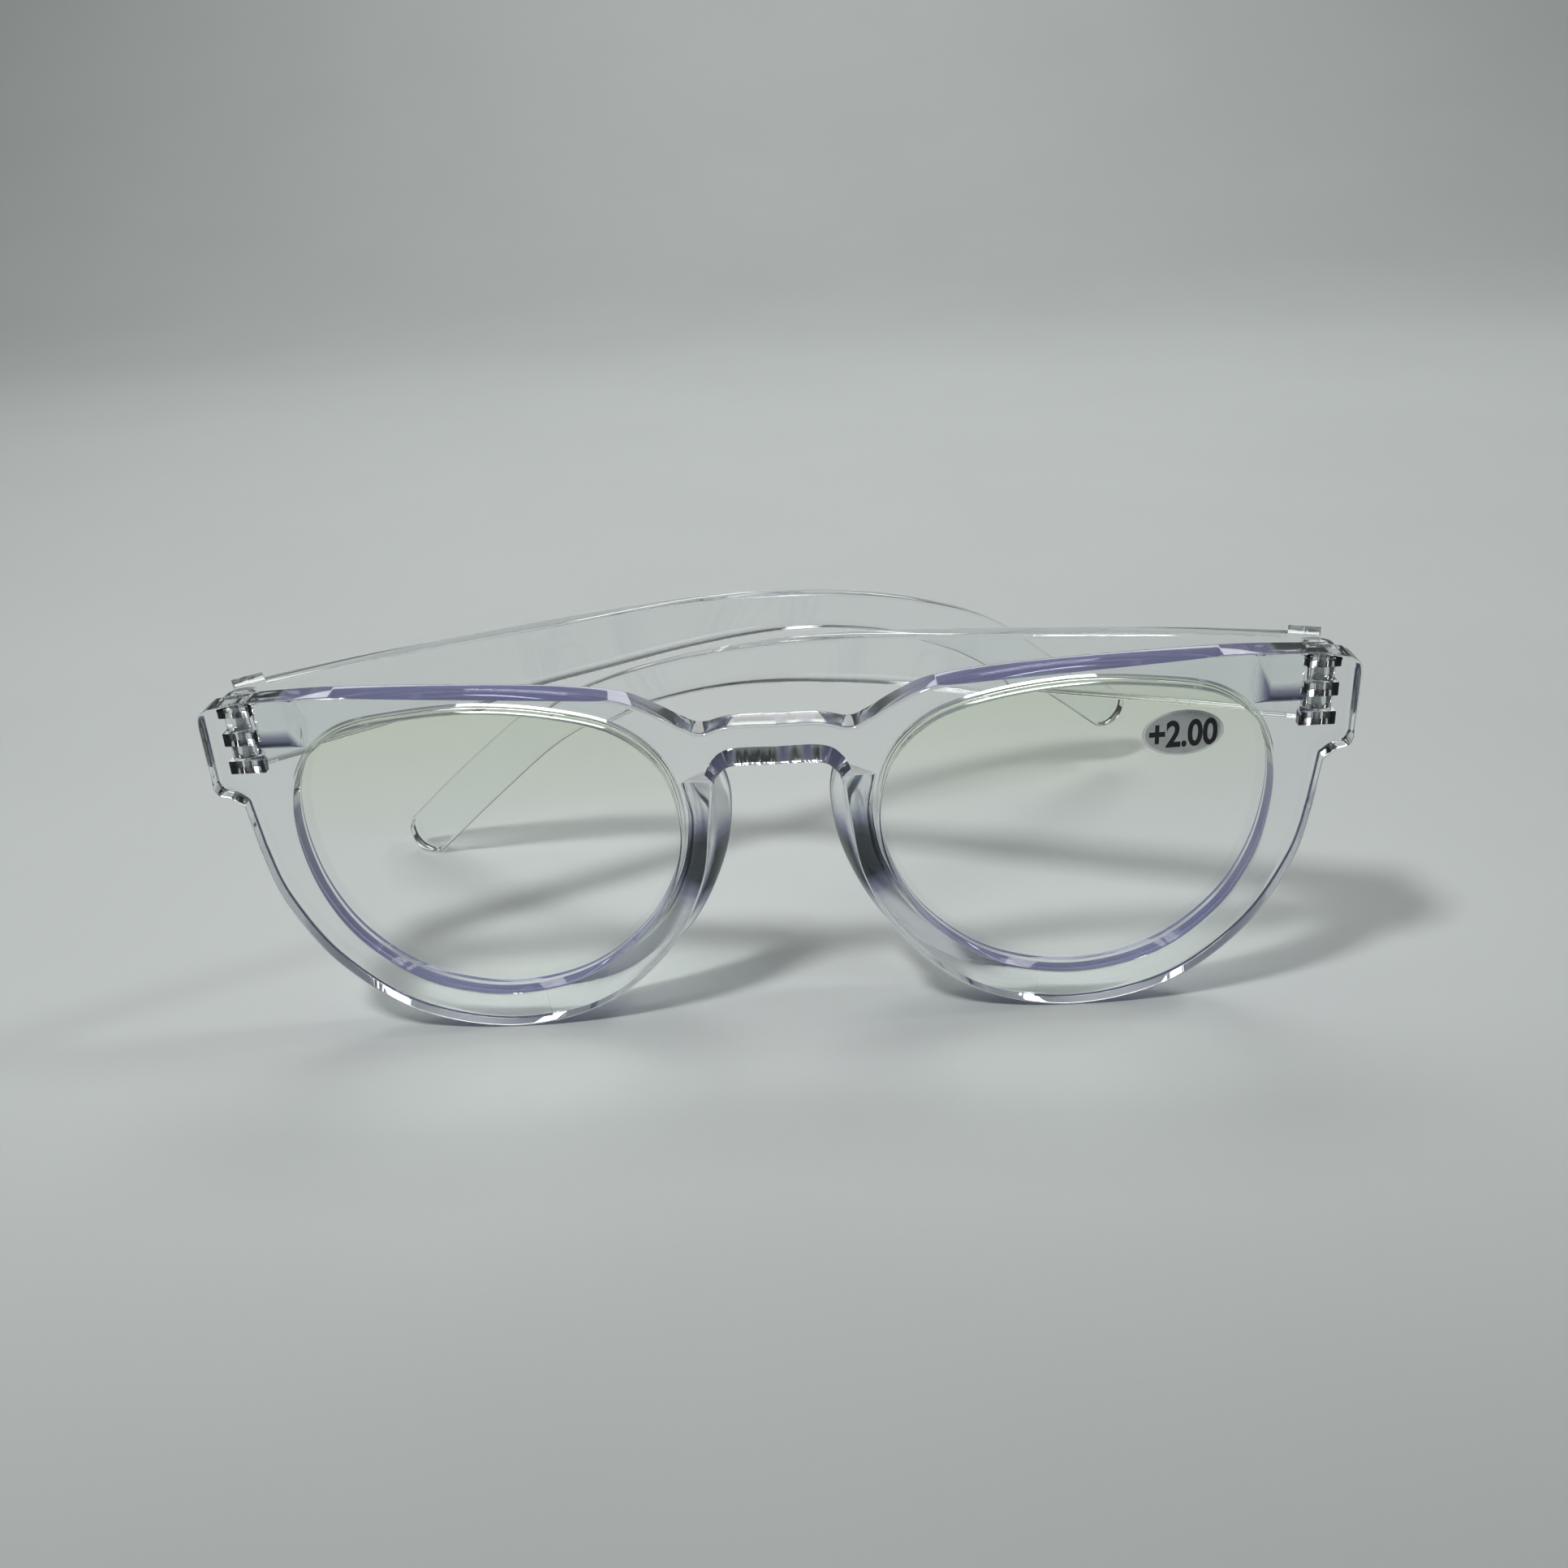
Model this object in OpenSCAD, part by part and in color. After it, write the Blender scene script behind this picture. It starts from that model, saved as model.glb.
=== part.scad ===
// Reading glasses in clear plastic, folded, standing on the rims of the front.
// Millimetres. X runs across the face towards the wearer's left, the front looks along -Y,
// and Z is up. The origin is under the middle of the folded glasses, on the surface they stand on.

/* [Lenses] */
// Width of a lens opening
lens_w = 50; // [44:0.5:56]
// Height of a lens opening
lens_h = 41.5; // [36:0.5:50]
// Distance between the two lens openings over the nose
bridge_w = 26; // [20:0.5:32]
// How far the lens edge goes into the rim
groove_d = 0.7; // [0.4:0.1:1.2]
// Clearance between a lens and its groove
lens_gap = 0.03; // [0.01:0.01:0.08]
// Radius of the front surface of a lens
lens_front_r = 180; // [120:10:320]
// Radius of the back surface of a lens
lens_back_r = 300; // [200:10:600]
// Thickness of a lens at its middle
lens_mid_t = 1.8; // [1.6:0.1:2]
// How far the middle of a lens is behind the front face
lens_set = 1; // [0.8:0.1:1.2]

/* [Front] */
// Overall width of the front
front_w = 145; // [138:1:174]
// Thickness of the front
front_d = 4.4; // [4.3:0.1:6]
// Width of the rim below a lens and at its temple side
rim_w = 5.5; // [4:0.5:7.5]
// Width of the rim above a lens
brow_w = 3.2; // [2.5:0.1:5]
// Width of the rim beside the nose, on the front face
nasal_w = 4; // [3:0.5:5]
// Height of the bridge
bridge_h = 5.6; // [4:0.2:8]
// How far the top of the bridge is below the top of the brow
bridge_drop = 6.4; // [5:0.2:9]
// Depth of the flat facet cut along the front edge of each brow
facet_d = 0.6; // [0.3:0.1:0.9]
// Width of the bevel on the back face along the arch of the bridge
bevel_w = 1.4; // [0.5:0.1:2.4]
// Depth of that bevel
bevel_d = 2.4; // [1:0.1:3]
// How far the nose pads stand out behind the rim
pad_d = 4.4; // [2:0.2:6]
// How far the nose pads lean in over the nose
pad_lean = 2.3; // [1.5:0.1:3.6]
// How far the flat top of the nose pads is below the underside of the bridge
pad_drop = 3.2; // [2.5:0.1:5]

/* [Hinges] */
// Height of the stack of five leaves
hinge_h = 9.6; // [8:0.2:11]
// How far the top leaf is below the top of the brow
hinge_drop = 1.4; // [0.8:0.1:2.4]
// Radius of the leaves
leaf_r = 1.9; // [1.6:0.1:2.2]
// Vertical gap between two leaves
leaf_gap = 0.15; // [0.05:0.05:0.3]
// Gap between the moving and the fixed side, round the leaves
swing_gap = 0.3; // [0.2:0.05:0.5]
// Distance from the hinge axis to the outer face of an open temple
hinge_inset = 3.7; // [3.4:0.1:4]
// Height of the block beside the leaves
block_h = 6.2; // [4:0.2:7]
// Radius of the screw shank
screw_r = 0.7; // [0.5:0.05:0.9]
// Radius of the screw head
screw_head_r = 1.2; // [1:0.05:1.4]
// Height of the screw head
screw_head_h = 0.7; // [0.4:0.1:1]
// Clearance between the screw shank and a temple's leaves
screw_gap = 0.05; // [0.01:0.01:0.1]

/* [Temples] */
// Distance from the hinge axis to the middle of the round tip
temple_l = 138; // [115:1:150]
// Thickness of a temple
temple_t = 3.3; // [2.4:0.1:3.6]
// Height of a temple at the hinge
temple_h = 10.7; // [9:0.1:13]
// How far the top of a temple at the hinge is below the top of the brow
temple_drop = 1.1; // [0.2:0.1:1.4]
// Height of a temple where it starts to bend down
waist_h = 5.6; // [4.5:0.1:7]
// Length of the low step on top of a temple at the hinge
step_l = 4; // [2:0.5:8]
// Height of that step
step_h = 0.5; // [0.2:0.1:0.8]
// Width of the part behind the ear
ear_w = 7.1; // [5:0.1:9]
// Angle of the folded left temple to the front
left_fold = 19.5; // [19:0.5:20]
// Angle of the folded right temple to the front
right_fold = 27.5; // [27:0.5:29]
// Upward flex of the right temple where it lies on the left one
right_lift = 3.2; // [3:0.1:3.6]

/* [Label] */
// Length of the power label
label_w = 10.4; // [8:0.2:14]
// Height of the power label
label_h = 6; // [4:0.2:8]
// Thickness of the power label
label_t = 0.12; // [0.08:0.02:0.3]

/* [Hidden] */
$fn = 64;
lens_fn = 360;                            // sides of the large lens spheres
steps = 5;                                // straight pieces between two control points
cx = (bridge_w + lens_w) / 2;             // middle of the left lens
cz = rim_w + lens_h / 2;
half_w = front_w / 2;
brow_z = cz + lens_h / 2 + brow_w;        // top of the brow
bridge_z = brow_z - bridge_drop;          // top of the bridge
under_z = bridge_z - bridge_h;            // underside of the bridge
axis_x = half_w - hinge_inset;
axis_y = front_d + leaf_r + swing_gap;
leaf_h = (hinge_h - 4 * leaf_gap) / 5;
hinge_z = brow_z - hinge_drop - hinge_h;  // bottom of the lowest leaf
butt = leaf_r - 1.7;                      // how far a temple starts ahead of its axis
hinge_mid = hinge_z + hinge_h / 2;
arm_z = brow_z - temple_drop - temple_h / 2; // middle of a temple at the hinge
tip_r = ear_w / 2;
inner_face = hinge_inset - temple_t;      // inner face of a temple from its axis
eps = 0.01;
clear = 0.2;                              // overlap of a cutter past the face it opens
past = 5;                                 // how far a large cutter reaches past the part
facet_turn = [12, -3.5];                  // lean to the front, and rise towards the temple
facet_drop = [0.36, 2.25, 0.6];           // its low end: share of lens_w, drop, depth it is for
slot_w = 0.3;                             // width of a screw's slot
root_in = 0.5;                            // how far leaves and their block go into the front
web = 0.8;                                // how far a fixed leaf reaches past its round part
block_l = 7;                              // length of the block beside the leaves, at its foot
block_top = 4;                            // length of its flat back
block_d = 1.3;                            // how far it stands out behind the front
pad_root = 1;                             // how far a nose pad goes into the front
label_at = [0.27, 0.315];                 // middle of the label in shares of the opening

// The farthest point of the folded right temple sets the middle of the whole along Y
tip_s = temple_l * cos(right_lift) - (tip_r - hinge_mid) * sin(right_lift);
back_y = axis_y + (tip_s + tip_r) * sin(right_fold) + hinge_inset * cos(right_fold);
mid_y = back_y / 2;

// A lens opening in shares of its half width and half height, anticlockwise from the temple side.
// X is positive towards the temple.
lens_shape = [[0.99, 0.3], [0.92, 0.67], [0.71, 0.895], [0.38, 0.975], [0, 1], [-0.4, 0.94],
    [-0.72, 0.81], [-0.93, 0.55], [-1, 0.18], [-0.94, -0.2], [-0.76, -0.575], [-0.43, -0.885],
    [0, -1], [0.43, -0.885], [0.75, -0.575], [0.93, -0.17]];

// The lower rim in the same shares, clockwise from the end piece to the bridge
rim_shape = [[0.99, 0.1], [0.93, -0.2], [0.75, -0.575], [0.43, -0.885], [0, -1], [-0.43, -0.885],
    [-0.76, -0.575], [-0.94, -0.2], [-1, 0.15]];

// The nose pad's run down the rim, in the same shares
pad_shape = [[-0.975, 0.4], [-1, 0.15], [-0.94, -0.2], [-0.76, -0.575], [-0.43, -0.885],
    [-0.15, -0.98]];
// How much of its full height the pad has at each of these places
pad_swell = [0.75, 1, 1, 0.85, 0.45, 0.05];

// Middle line of a temple: share of its length, share of its drop, height across
arm_line = [[0.11, 0.008, temple_h - 0.5], [0.23, 0.026, temple_h - 1.5],
    [0.35, 0.048, (temple_h + waist_h) / 2], [0.465, 0.075, waist_h + 1.3],
    [0.565, 0.124, waist_h + 0.2], [0.652, 0.198, waist_h], [0.739, 0.31, waist_h + 0.3],
    [0.826, 0.473, ear_w - 0.4], [0.913, 0.724, ear_w]];

// A smooth curve through points a and b, with p before and q after
function through(p, a, b, q, t) =
    0.5 * (2 * a + (b - p) * t + (2 * p - 5 * a + 4 * b - q) * t * t
           + (3 * a - 3 * b + q - p) * t * t * t);
function at(l, i) = l[(i + len(l)) % len(l)];
function loop_curve(l, n) =
    [for (i = [0 : len(l) - 1]) for (k = [0 : n - 1])
        through(at(l, i - 1), l[i], at(l, i + 1), at(l, i + 2), k / n)];
function open_curve(l, n) = let (m = len(l) - 1) concat(
    [for (i = [0 : m - 1]) for (k = [0 : n - 1])
        through(l[max(i - 1, 0)], l[i], l[i + 1], l[min(i + 2, m)], k / n)], [l[m]]);
function unit(v) = v / norm(v);
// Outward offset of an anticlockwise closed outline
function grown(l, d) = [for (i = [0 : len(l) - 1])
    let (v = unit(at(l, i + 1) - at(l, i - 1))) l[i] + d * [v.y, -v.x]];
function mirrored(l) = [for (i = [len(l) - 2 : -1 : 1]) [-l[i].x, l[i].y]];

function in_lens(p, grow) = [cx + p.x * (lens_w / 2 + grow), cz + p.y * (lens_h / 2 + grow)];
function on_rim(p) = [cx + p.x * (lens_w / 2 + (p.x < 0 ? nasal_w : rim_w)),
    cz + p.y * (lens_h / 2 + rim_w)];

opening = loop_curve([for (p = lens_shape) in_lens(p, 0)], steps);

// The upper edge of the left half of the front, from the middle of the bridge to the end piece
brow_edge = open_curve([[0, bridge_z], [bridge_w * 0.21, bridge_z], [bridge_w * 0.36, bridge_z - 0.8],
    [cx - lens_w * 0.525, bridge_z + 0.1], [cx - lens_w * 0.45, brow_z - 4.1],
    [cx - lens_w * 0.37, brow_z - 2.4], [cx - lens_w * 0.24, brow_z - 1.4],
    [cx - lens_w * 0.04, brow_z - 0.7], [cx + lens_w * 0.2, brow_z - 0.2],
    [cx + lens_w * 0.4, brow_z], [half_w - 5.5, brow_z - 0.3]], steps);
end_edge = concat(
    open_curve([[half_w - 1.6, brow_z - 0.9], [half_w - 0.3, brow_z - 1.8], [half_w, brow_z - 3.2]], steps),
    open_curve([[half_w, hinge_z - 0.8], [half_w - 0.6, hinge_z - 2], [half_w - 2.1, hinge_z - 2.5],
        [half_w - 3.5, hinge_z - 3.6]], steps));
arch = [[bridge_w / 2 - 4.8, under_z - 2.8], [bridge_w / 2 - 5.7, under_z - 1],
    [bridge_w / 2 - 7.6, under_z], [0, under_z]];
lower_edge = open_curve(concat([for (p = rim_shape) on_rim(p)], arch), steps);
half_edge = concat(brow_edge, end_edge, lower_edge);
whole_edge = concat(half_edge, mirrored(half_edge));

// Puts a drawing of the front view, X and Z, into space from y0 backwards
module plate(points, y0, depth) {
    translate([0, y0 + depth, 0]) rotate([90, 0, 0]) linear_extrude(depth) polygon(points);
}

module both_sides() {
    children();
    mirror([1, 0, 0]) children();
}

module in_place() {
    translate([0, -mid_y, 0]) children();
}

// The left lens, larger all round by grow
module lens_solid(grow) {
    difference() {
        intersection() {
            plate(grown(opening, groove_d - lens_gap + grow), 0, front_d);
            translate([cx, lens_set + lens_front_r, cz]) sphere(lens_front_r + grow, $fn = lens_fn);
        }
        translate([cx, lens_set + lens_mid_t + lens_back_r, cz]) sphere(lens_back_r - grow, $fn = lens_fn);
    }
}

// A flat plane that cuts an almond-shaped facet into the curved front edge of the brow
module brow_facet() {
    translate([cx - lens_w * facet_drop[0], 0, brow_z - facet_drop[1]])
        rotate([0, facet_turn[1], 0]) rotate([facet_turn[0], 0, 0])
            translate([-past, -past / 2, facet_drop[2] - facet_d]) cube([lens_w, 2 * past, past]);
}

// The bevel along the arch of the bridge, which reaches past the back face and past the arch
module arch_bevel() {
    half = open_curve(arch, steps);
    line = concat(half, mirrored(half), [[-half[0].x, half[0].y]]);
    last = len(line) - 1;
    rows = [for (i = [0 : last])
        let (run = unit(line[min(i + 1, last)] - line[max(i - 1, 0)]), v = [run.y, -run.x])
        [concat(line[i] - v * bevel_w * clear, front_d - bevel_d * (1 + clear)),
         concat(line[i] - v * bevel_w * clear, front_d + bevel_d * clear),
         concat(line[i] + v * bevel_w * (1 + clear), front_d + bevel_d * clear)]];
    loft(rows);
}

// A solid through rows of points, each point X, Z and depth
module loft(rows) {
    n = len(rows[0]);
    last = len(rows) - 1;
    sides = [for (r = [0 : last - 1]) for (k = [0 : n - 1]) for (f = [0, 1])
        f == 0 ? [r * n + k, r * n + (k + 1) % n, (r + 1) * n + k]
               : [r * n + (k + 1) % n, (r + 1) * n + (k + 1) % n, (r + 1) * n + k]];
    polyhedron([for (row = rows) for (q = row) [q[0], q[2], q[1]]],
        concat(sides, [[for (k = [n - 1 : -1 : 0]) k]], [[for (k = [0 : n - 1]) last * n + k]]));
}

function pad_section(p, swell) =
    let (root = on_rim(p), out = unit([p.x, p.y]), tip = root + out * pad_lean * swell)
    [concat(root - out * 0.3, front_d - pad_root), concat(in_lens(p, 1), front_d - pad_root),
     concat(in_lens(p, 1.6), front_d + 0.3 * pad_d * swell),
     concat(tip - out * 1.6, front_d + pad_d * swell), concat(tip, front_d + 0.8 * pad_d * swell)];

module nose_pad() {
    line = open_curve([for (i = [0 : len(pad_shape) - 1])
        [pad_shape[i].x, pad_shape[i].y, pad_swell[i]]], 3);
    difference() {
        loft([for (q = line) pad_section(q, q[2])]);
        translate([0, 0, under_z - pad_drop]) cube([bridge_w, front_d + pad_d + past, past]);
    }
}

// Bottom of leaf i of the five
function leaf_z(i) = hinge_z + i * (leaf_h + leaf_gap);

// The three leaves of the front, and the block that they stand on
module front_leaves() {
    for (i = [0, 2, 4]) translate([axis_x, axis_y, leaf_z(i)]) {
        cylinder(r = leaf_r, h = leaf_h);
        root_y = front_d - axis_y - root_in;
        linear_extrude(leaf_h) polygon([[leaf_r, 0], [-leaf_r, 0], [-leaf_r - web, -leaf_r * 0.6],
            [-leaf_r - web, root_y], [leaf_r, root_y]]);
    }
    block_x = axis_x - leaf_r - swing_gap;
    translate([0, 0, hinge_z + hinge_h - block_h]) linear_extrude(block_h) polygon([
        [block_x - block_l, front_d - root_in], [block_x, front_d - root_in],
        [block_x, front_d + block_d], [block_x - block_top, front_d + block_d]]);
}

module front_frame() color([0.86, 0.88, 0.94, 0.5]) in_place() difference() {
    union() {
        plate(whole_edge, 0, front_d);
        both_sides() nose_pad();
        both_sides() front_leaves();
    }
    both_sides() {
        plate(opening, -clear, front_d + 2 * clear);
        lens_solid(lens_gap);
        brow_facet();
        translate([axis_x, axis_y, hinge_z - clear]) cylinder(r = screw_r, h = hinge_h + 2 * clear);
        translate([axis_x, axis_y, hinge_z + hinge_h - screw_head_h])
            cylinder(r = screw_head_r, h = screw_head_h + clear);
    }
    arch_bevel();
}

module left_lens() color([0.9, 0.95, 0.88, 0.3]) in_place() lens_solid(0);

module right_lens() color([0.9, 0.95, 0.88, 0.3]) in_place() mirror([1, 0, 0]) lens_solid(0);

module left_hinge_screw() color([0.7, 0.7, 0.72]) in_place() hinge_screw();

module right_hinge_screw() color([0.7, 0.7, 0.72]) in_place() mirror([1, 0, 0]) hinge_screw();

module hinge_screw() {
    translate([axis_x, axis_y, 0]) difference() {
        union() {
            translate([0, 0, hinge_z]) cylinder(r = screw_r, h = hinge_h - eps);
            translate([0, 0, hinge_z + hinge_h - screw_head_h])
                cylinder(r = screw_head_r - screw_gap, h = screw_head_h - eps);
        }
        translate([-screw_head_r, -slot_w / 2, hinge_z + hinge_h - screw_head_h / 2])
            cube([2 * screw_head_r, slot_w, screw_head_h]);
    }
}

// Side view of a temple: along from the hinge axis, and up
arm_pts = open_curve(concat([[-butt, arm_z, temple_h]],
    [for (p = arm_line) [p[0] * temple_l, arm_z - p[1] * (arm_z - tip_r), p[2]]],
    [[temple_l, tip_r, ear_w]]), steps);
arm_last = len(arm_pts) - 1;
function arm_dir(i) = let (a = arm_pts[max(i - 1, 0)], b = arm_pts[min(i + 1, arm_last)])
    i == 0 ? [1, 0] : unit([b.x - a.x, b.y - a.y]);
function arm_side(i, s) = [arm_pts[i].x, arm_pts[i].y]
    + s * arm_pts[i][2] / 2 * [-arm_dir(i).y, arm_dir(i).x];
tip_turn = atan2(arm_dir(arm_last).y, arm_dir(arm_last).x);
arm_outline = concat([for (i = [0 : arm_last]) arm_side(i, -1)],
    [for (a = [-80 : 10 : 80])
        [temple_l + tip_r * cos(tip_turn + a), tip_r + tip_r * sin(tip_turn + a)]],
    [for (i = [arm_last : -1 : 0]) arm_side(i, 1)]);

// The left temple, open, with its hinge axis on the Z axis
module temple(lift) {
    difference() {
        union() {
            translate([0, 0, hinge_mid]) rotate([lift, 0, 0]) translate([inner_face, 0, -hinge_mid]) {
                rotate([90, 0, 90]) linear_extrude(temple_t) polygon(arm_outline);
                translate([0, -butt, arm_z]) cube([temple_t, step_l, temple_h / 2 + step_h]);
            }
            for (i = [1, 3]) translate([0, 0, leaf_z(i)]) cylinder(r = leaf_r, h = leaf_h);
        }
        for (i = [0, 2, 4]) {
            low = i == 0 ? hinge_z - past : leaf_z(i) - leaf_gap;
            high = i == 4 ? hinge_z + hinge_h + leaf_gap : leaf_z(i) + leaf_h + leaf_gap;
            translate([0, 0, low]) cylinder(r = leaf_r + swing_gap, h = high - low);
            translate([-past, -past, low]) cube([past + leaf_r + swing_gap, past, high - low]);
        }
        translate([0, 0, hinge_z]) cylinder(r = screw_r + screw_gap, h = hinge_h);
    }
}

module left_temple() color([0.86, 0.88, 0.94, 0.5]) in_place()
    translate([axis_x, axis_y, 0]) rotate([0, 0, 90 - left_fold]) temple(0);

module right_temple() color([0.86, 0.88, 0.94, 0.5]) in_place() mirror([1, 0, 0])
    translate([axis_x, axis_y, 0]) rotate([0, 0, 90 - right_fold]) temple(right_lift);

// An oval label on the front of the left lens
module power_label() color([0.75, 0.78, 0.76]) in_place() difference() {
    intersection() {
        translate([cx + lens_w * label_at[0], lens_set + past, cz + lens_h * label_at[1]])
            rotate([90, 0, 0]) linear_extrude(lens_set + 2 * past)
                polygon([for (a = [0 : 7.5 : 352.5]) [label_w / 2 * cos(a), label_h / 2 * sin(a)]]);
        translate([cx, lens_set + lens_front_r, cz]) sphere(lens_front_r + label_t, $fn = lens_fn);
    }
    translate([cx, lens_set + lens_front_r, cz]) sphere(lens_front_r, $fn = lens_fn);
}

front_frame();
left_lens();
right_lens();
power_label();
left_temple();
right_temple();
left_hinge_screw();
right_hinge_screw();
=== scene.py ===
"""Reading glasses in clear plastic, folded and standing on their rims.

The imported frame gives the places. The clear mouldings, the lenses and the label are built here as
finished meshes in millimetres of the front view and put into the frame in metres. The two hinge
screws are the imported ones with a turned-steel finish.
"""
import logging
import math
from dataclasses import dataclass, field, replace
from enum import Enum
from typing import Callable, Iterable, Sequence

import bmesh
import bpy
from mathutils import Matrix, Vector


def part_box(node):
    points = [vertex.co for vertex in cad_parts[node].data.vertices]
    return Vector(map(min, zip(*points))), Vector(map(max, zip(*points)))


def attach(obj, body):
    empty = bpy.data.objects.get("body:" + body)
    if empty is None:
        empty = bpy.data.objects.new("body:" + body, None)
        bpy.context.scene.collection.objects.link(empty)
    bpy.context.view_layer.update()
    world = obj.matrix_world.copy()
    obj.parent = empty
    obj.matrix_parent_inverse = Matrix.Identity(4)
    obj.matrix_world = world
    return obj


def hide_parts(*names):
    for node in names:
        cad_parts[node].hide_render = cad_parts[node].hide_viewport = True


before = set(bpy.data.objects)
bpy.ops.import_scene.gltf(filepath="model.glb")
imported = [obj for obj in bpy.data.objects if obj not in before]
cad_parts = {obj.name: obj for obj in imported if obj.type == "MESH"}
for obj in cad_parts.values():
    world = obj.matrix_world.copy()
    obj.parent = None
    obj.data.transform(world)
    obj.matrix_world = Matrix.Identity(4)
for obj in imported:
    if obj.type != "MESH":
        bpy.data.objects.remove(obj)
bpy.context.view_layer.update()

log = logging.getLogger("glasses")
MM = 0.001
# The face mark that says where reflections are painted into the front's colour.
PAINTED_REFLECTION_MARK = "painted_reflection_share"
FINE_EDGE = 0.02
MIX_BASE, MIX_COLOUR, MIXED = 6, 7, 2
Point = tuple[float, float]
Spot = tuple[float, float, float]
Colour = tuple[float, float, float]
Place = Callable[[float, float, float], Vector]
Ring = list[bmesh.types.BMVert]


class Side(Enum):
    """The wearer's side that a piece belongs to, with its sign along X."""

    LEFT = 1
    RIGHT = -1


class Join(Enum):
    """How one solid is worked into another."""

    ADD = "UNION"
    CUT = "DIFFERENCE"


# Curves and outlines


def through(p: Sequence[float], a: Sequence[float], b: Sequence[float], q: Sequence[float],
            t: float) -> tuple[float, ...]:
    """A point between a and b on a smooth curve with p before and q after.

    Args:
        p: The point before a.
        a: Where the stretch starts.
        b: Where it ends.
        q: The point after b.
        t: How far along the stretch, 0 to 1.

    Returns:
        The point, with as many values as the points given.
    """
    return tuple(0.5 * (2 * a[i] + (b[i] - p[i]) * t
                        + (2 * p[i] - 5 * a[i] + 4 * b[i] - q[i]) * t * t
                        + (3 * a[i] - 3 * b[i] + q[i] - p[i]) * t ** 3) for i in range(len(a)))


def loop_curve(points: Sequence[Sequence[float]], steps: int) -> list[tuple[float, ...]]:
    """A closed smooth curve through the points.

    Args:
        points: The control points, in order.
        steps: How many straight pieces lie between two of them.

    Returns:
        The curve's points.
    """
    n = len(points)
    return [through(points[i - 1], points[i], points[(i + 1) % n], points[(i + 2) % n], k / steps)
            for i in range(n) for k in range(steps)]


def open_curve(points: Sequence[Sequence[float]], steps: int) -> list[tuple[float, ...]]:
    """An open smooth curve from the first point to the last.

    Args:
        points: The control points, in order.
        steps: How many straight pieces lie between two of them.

    Returns:
        The curve's points, both ends included.
    """
    last = len(points) - 1
    curve = [through(points[max(i - 1, 0)], points[i], points[i + 1], points[min(i + 2, last)],
                     k / steps) for i in range(last) for k in range(steps)]
    return curve + [tuple(points[last])]


def turned_out(loop: Sequence[Point]) -> list[Point]:
    """Finds which way is out all round an outline.

    Args:
        loop: The closed outline, in anticlockwise order.

    Returns:
        A unit vector at each of its points.
    """
    made = []
    for i in range(len(loop)):
        run = Vector(loop[(i + 1) % len(loop)]) - Vector(loop[i - 1])
        run.normalize()
        made.append((run.y, -run.x))
    return made


def grown(loop: Sequence[Point], by: float) -> list[Point]:
    """The closed outline moved out by a distance, or in where it is negative."""
    return [(p[0] + by * v[0], p[1] + by * v[1]) for p, v in zip(loop, turned_out(loop))]


def anticlockwise(loop: Sequence[Point]) -> list[Point]:
    """The closed outline in anticlockwise order."""
    area = sum(a[0] * b[1] - b[0] * a[1] for a, b in zip(loop, [*loop[1:], loop[0]]))
    return list(loop) if area > 0 else list(reversed(loop))


def edge_steps(radius: float, steps: int) -> list[tuple[float, float]]:
    """How a rounded edge comes off a face.

    Args:
        radius: The radius of the edge.
        steps: How many straight pieces round it.

    Returns:
        Pairs of inset from the wall and depth below the face, from the face to the wall.
    """
    turns = [math.pi / 2 * k / steps for k in range(steps + 1)]
    return [(radius * (1 - math.sin(t)), radius * (1 - math.cos(t))) for t in turns]


def round_plan(radius: float, sides: int, x: float = 0.0, y: float = 0.0) -> list[Point]:
    """A circle about a place, as an outline with so many sides."""
    turns = [2 * math.pi * k / sides for k in range(sides)]
    return [(x + radius * math.cos(t), y + radius * math.sin(t)) for t in turns]


# Solids


class Shell:
    """A closed mesh made ring by ring."""

    def __init__(self) -> None:
        """Starts an empty mesh."""
        self.mesh = bmesh.new()

    def ring(self, points: Iterable[Vector]) -> list[bmesh.types.BMVert]:
        """Adds the corners of one ring and returns them."""
        return [self.mesh.verts.new(p) for p in points]

    def wall(self, rings: Sequence[Sequence[bmesh.types.BMVert]]) -> None:
        """Joins each closed ring to the next with four-sided faces.

        Args:
            rings: The rings, each with as many corners.
        """
        for low, high in zip(rings, rings[1:]):
            for i in range(len(low)):
                j = (i + 1) % len(low)
                self.mesh.faces.new((low[i], low[j], high[j], high[i]))

    def fill(self, rings: Sequence[Sequence[bmesh.types.BMVert]]) -> None:
        """Closes the flat face that lies between an outer ring and any rings inside it.

        Args:
            rings: The outer ring and those inside it, which stay open.
        """
        edges = []
        for ring in rings:
            for i, corner in enumerate(ring):
                edge = self.mesh.edges.get((corner, ring[(i + 1) % len(ring)]))
                edges.append(edge or self.mesh.edges.new((corner, ring[(i + 1) % len(ring)])))
        bmesh.ops.triangle_fill(self.mesh, use_beauty=True, edges=edges)

    def fan(self, middle: Vector, ring: Sequence[bmesh.types.BMVert]) -> None:
        """Closes a ring with triangles to one middle point.

        Args:
            middle: The middle point.
            ring: The corners of the ring.
        """
        hub = self.mesh.verts.new(middle)
        for i, corner in enumerate(ring):
            self.mesh.faces.new((corner, ring[(i + 1) % len(ring)], hub))

    def piece(self, name: str) -> bpy.types.Object:
        """Ends the mesh.

        Args:
            name: The name of the piece.

        Returns:
            An object in metres, with its faces turned outwards.
        """
        bmesh.ops.recalc_face_normals(self.mesh, faces=self.mesh.faces)
        bmesh.ops.scale(self.mesh, vec=(MM, MM, MM), verts=self.mesh.verts)
        data = bpy.data.meshes.new(name)
        self.mesh.to_mesh(data)
        self.mesh.free()
        made = bpy.data.objects.new(name, data)
        bpy.context.scene.collection.objects.link(made)
        return made


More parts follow.
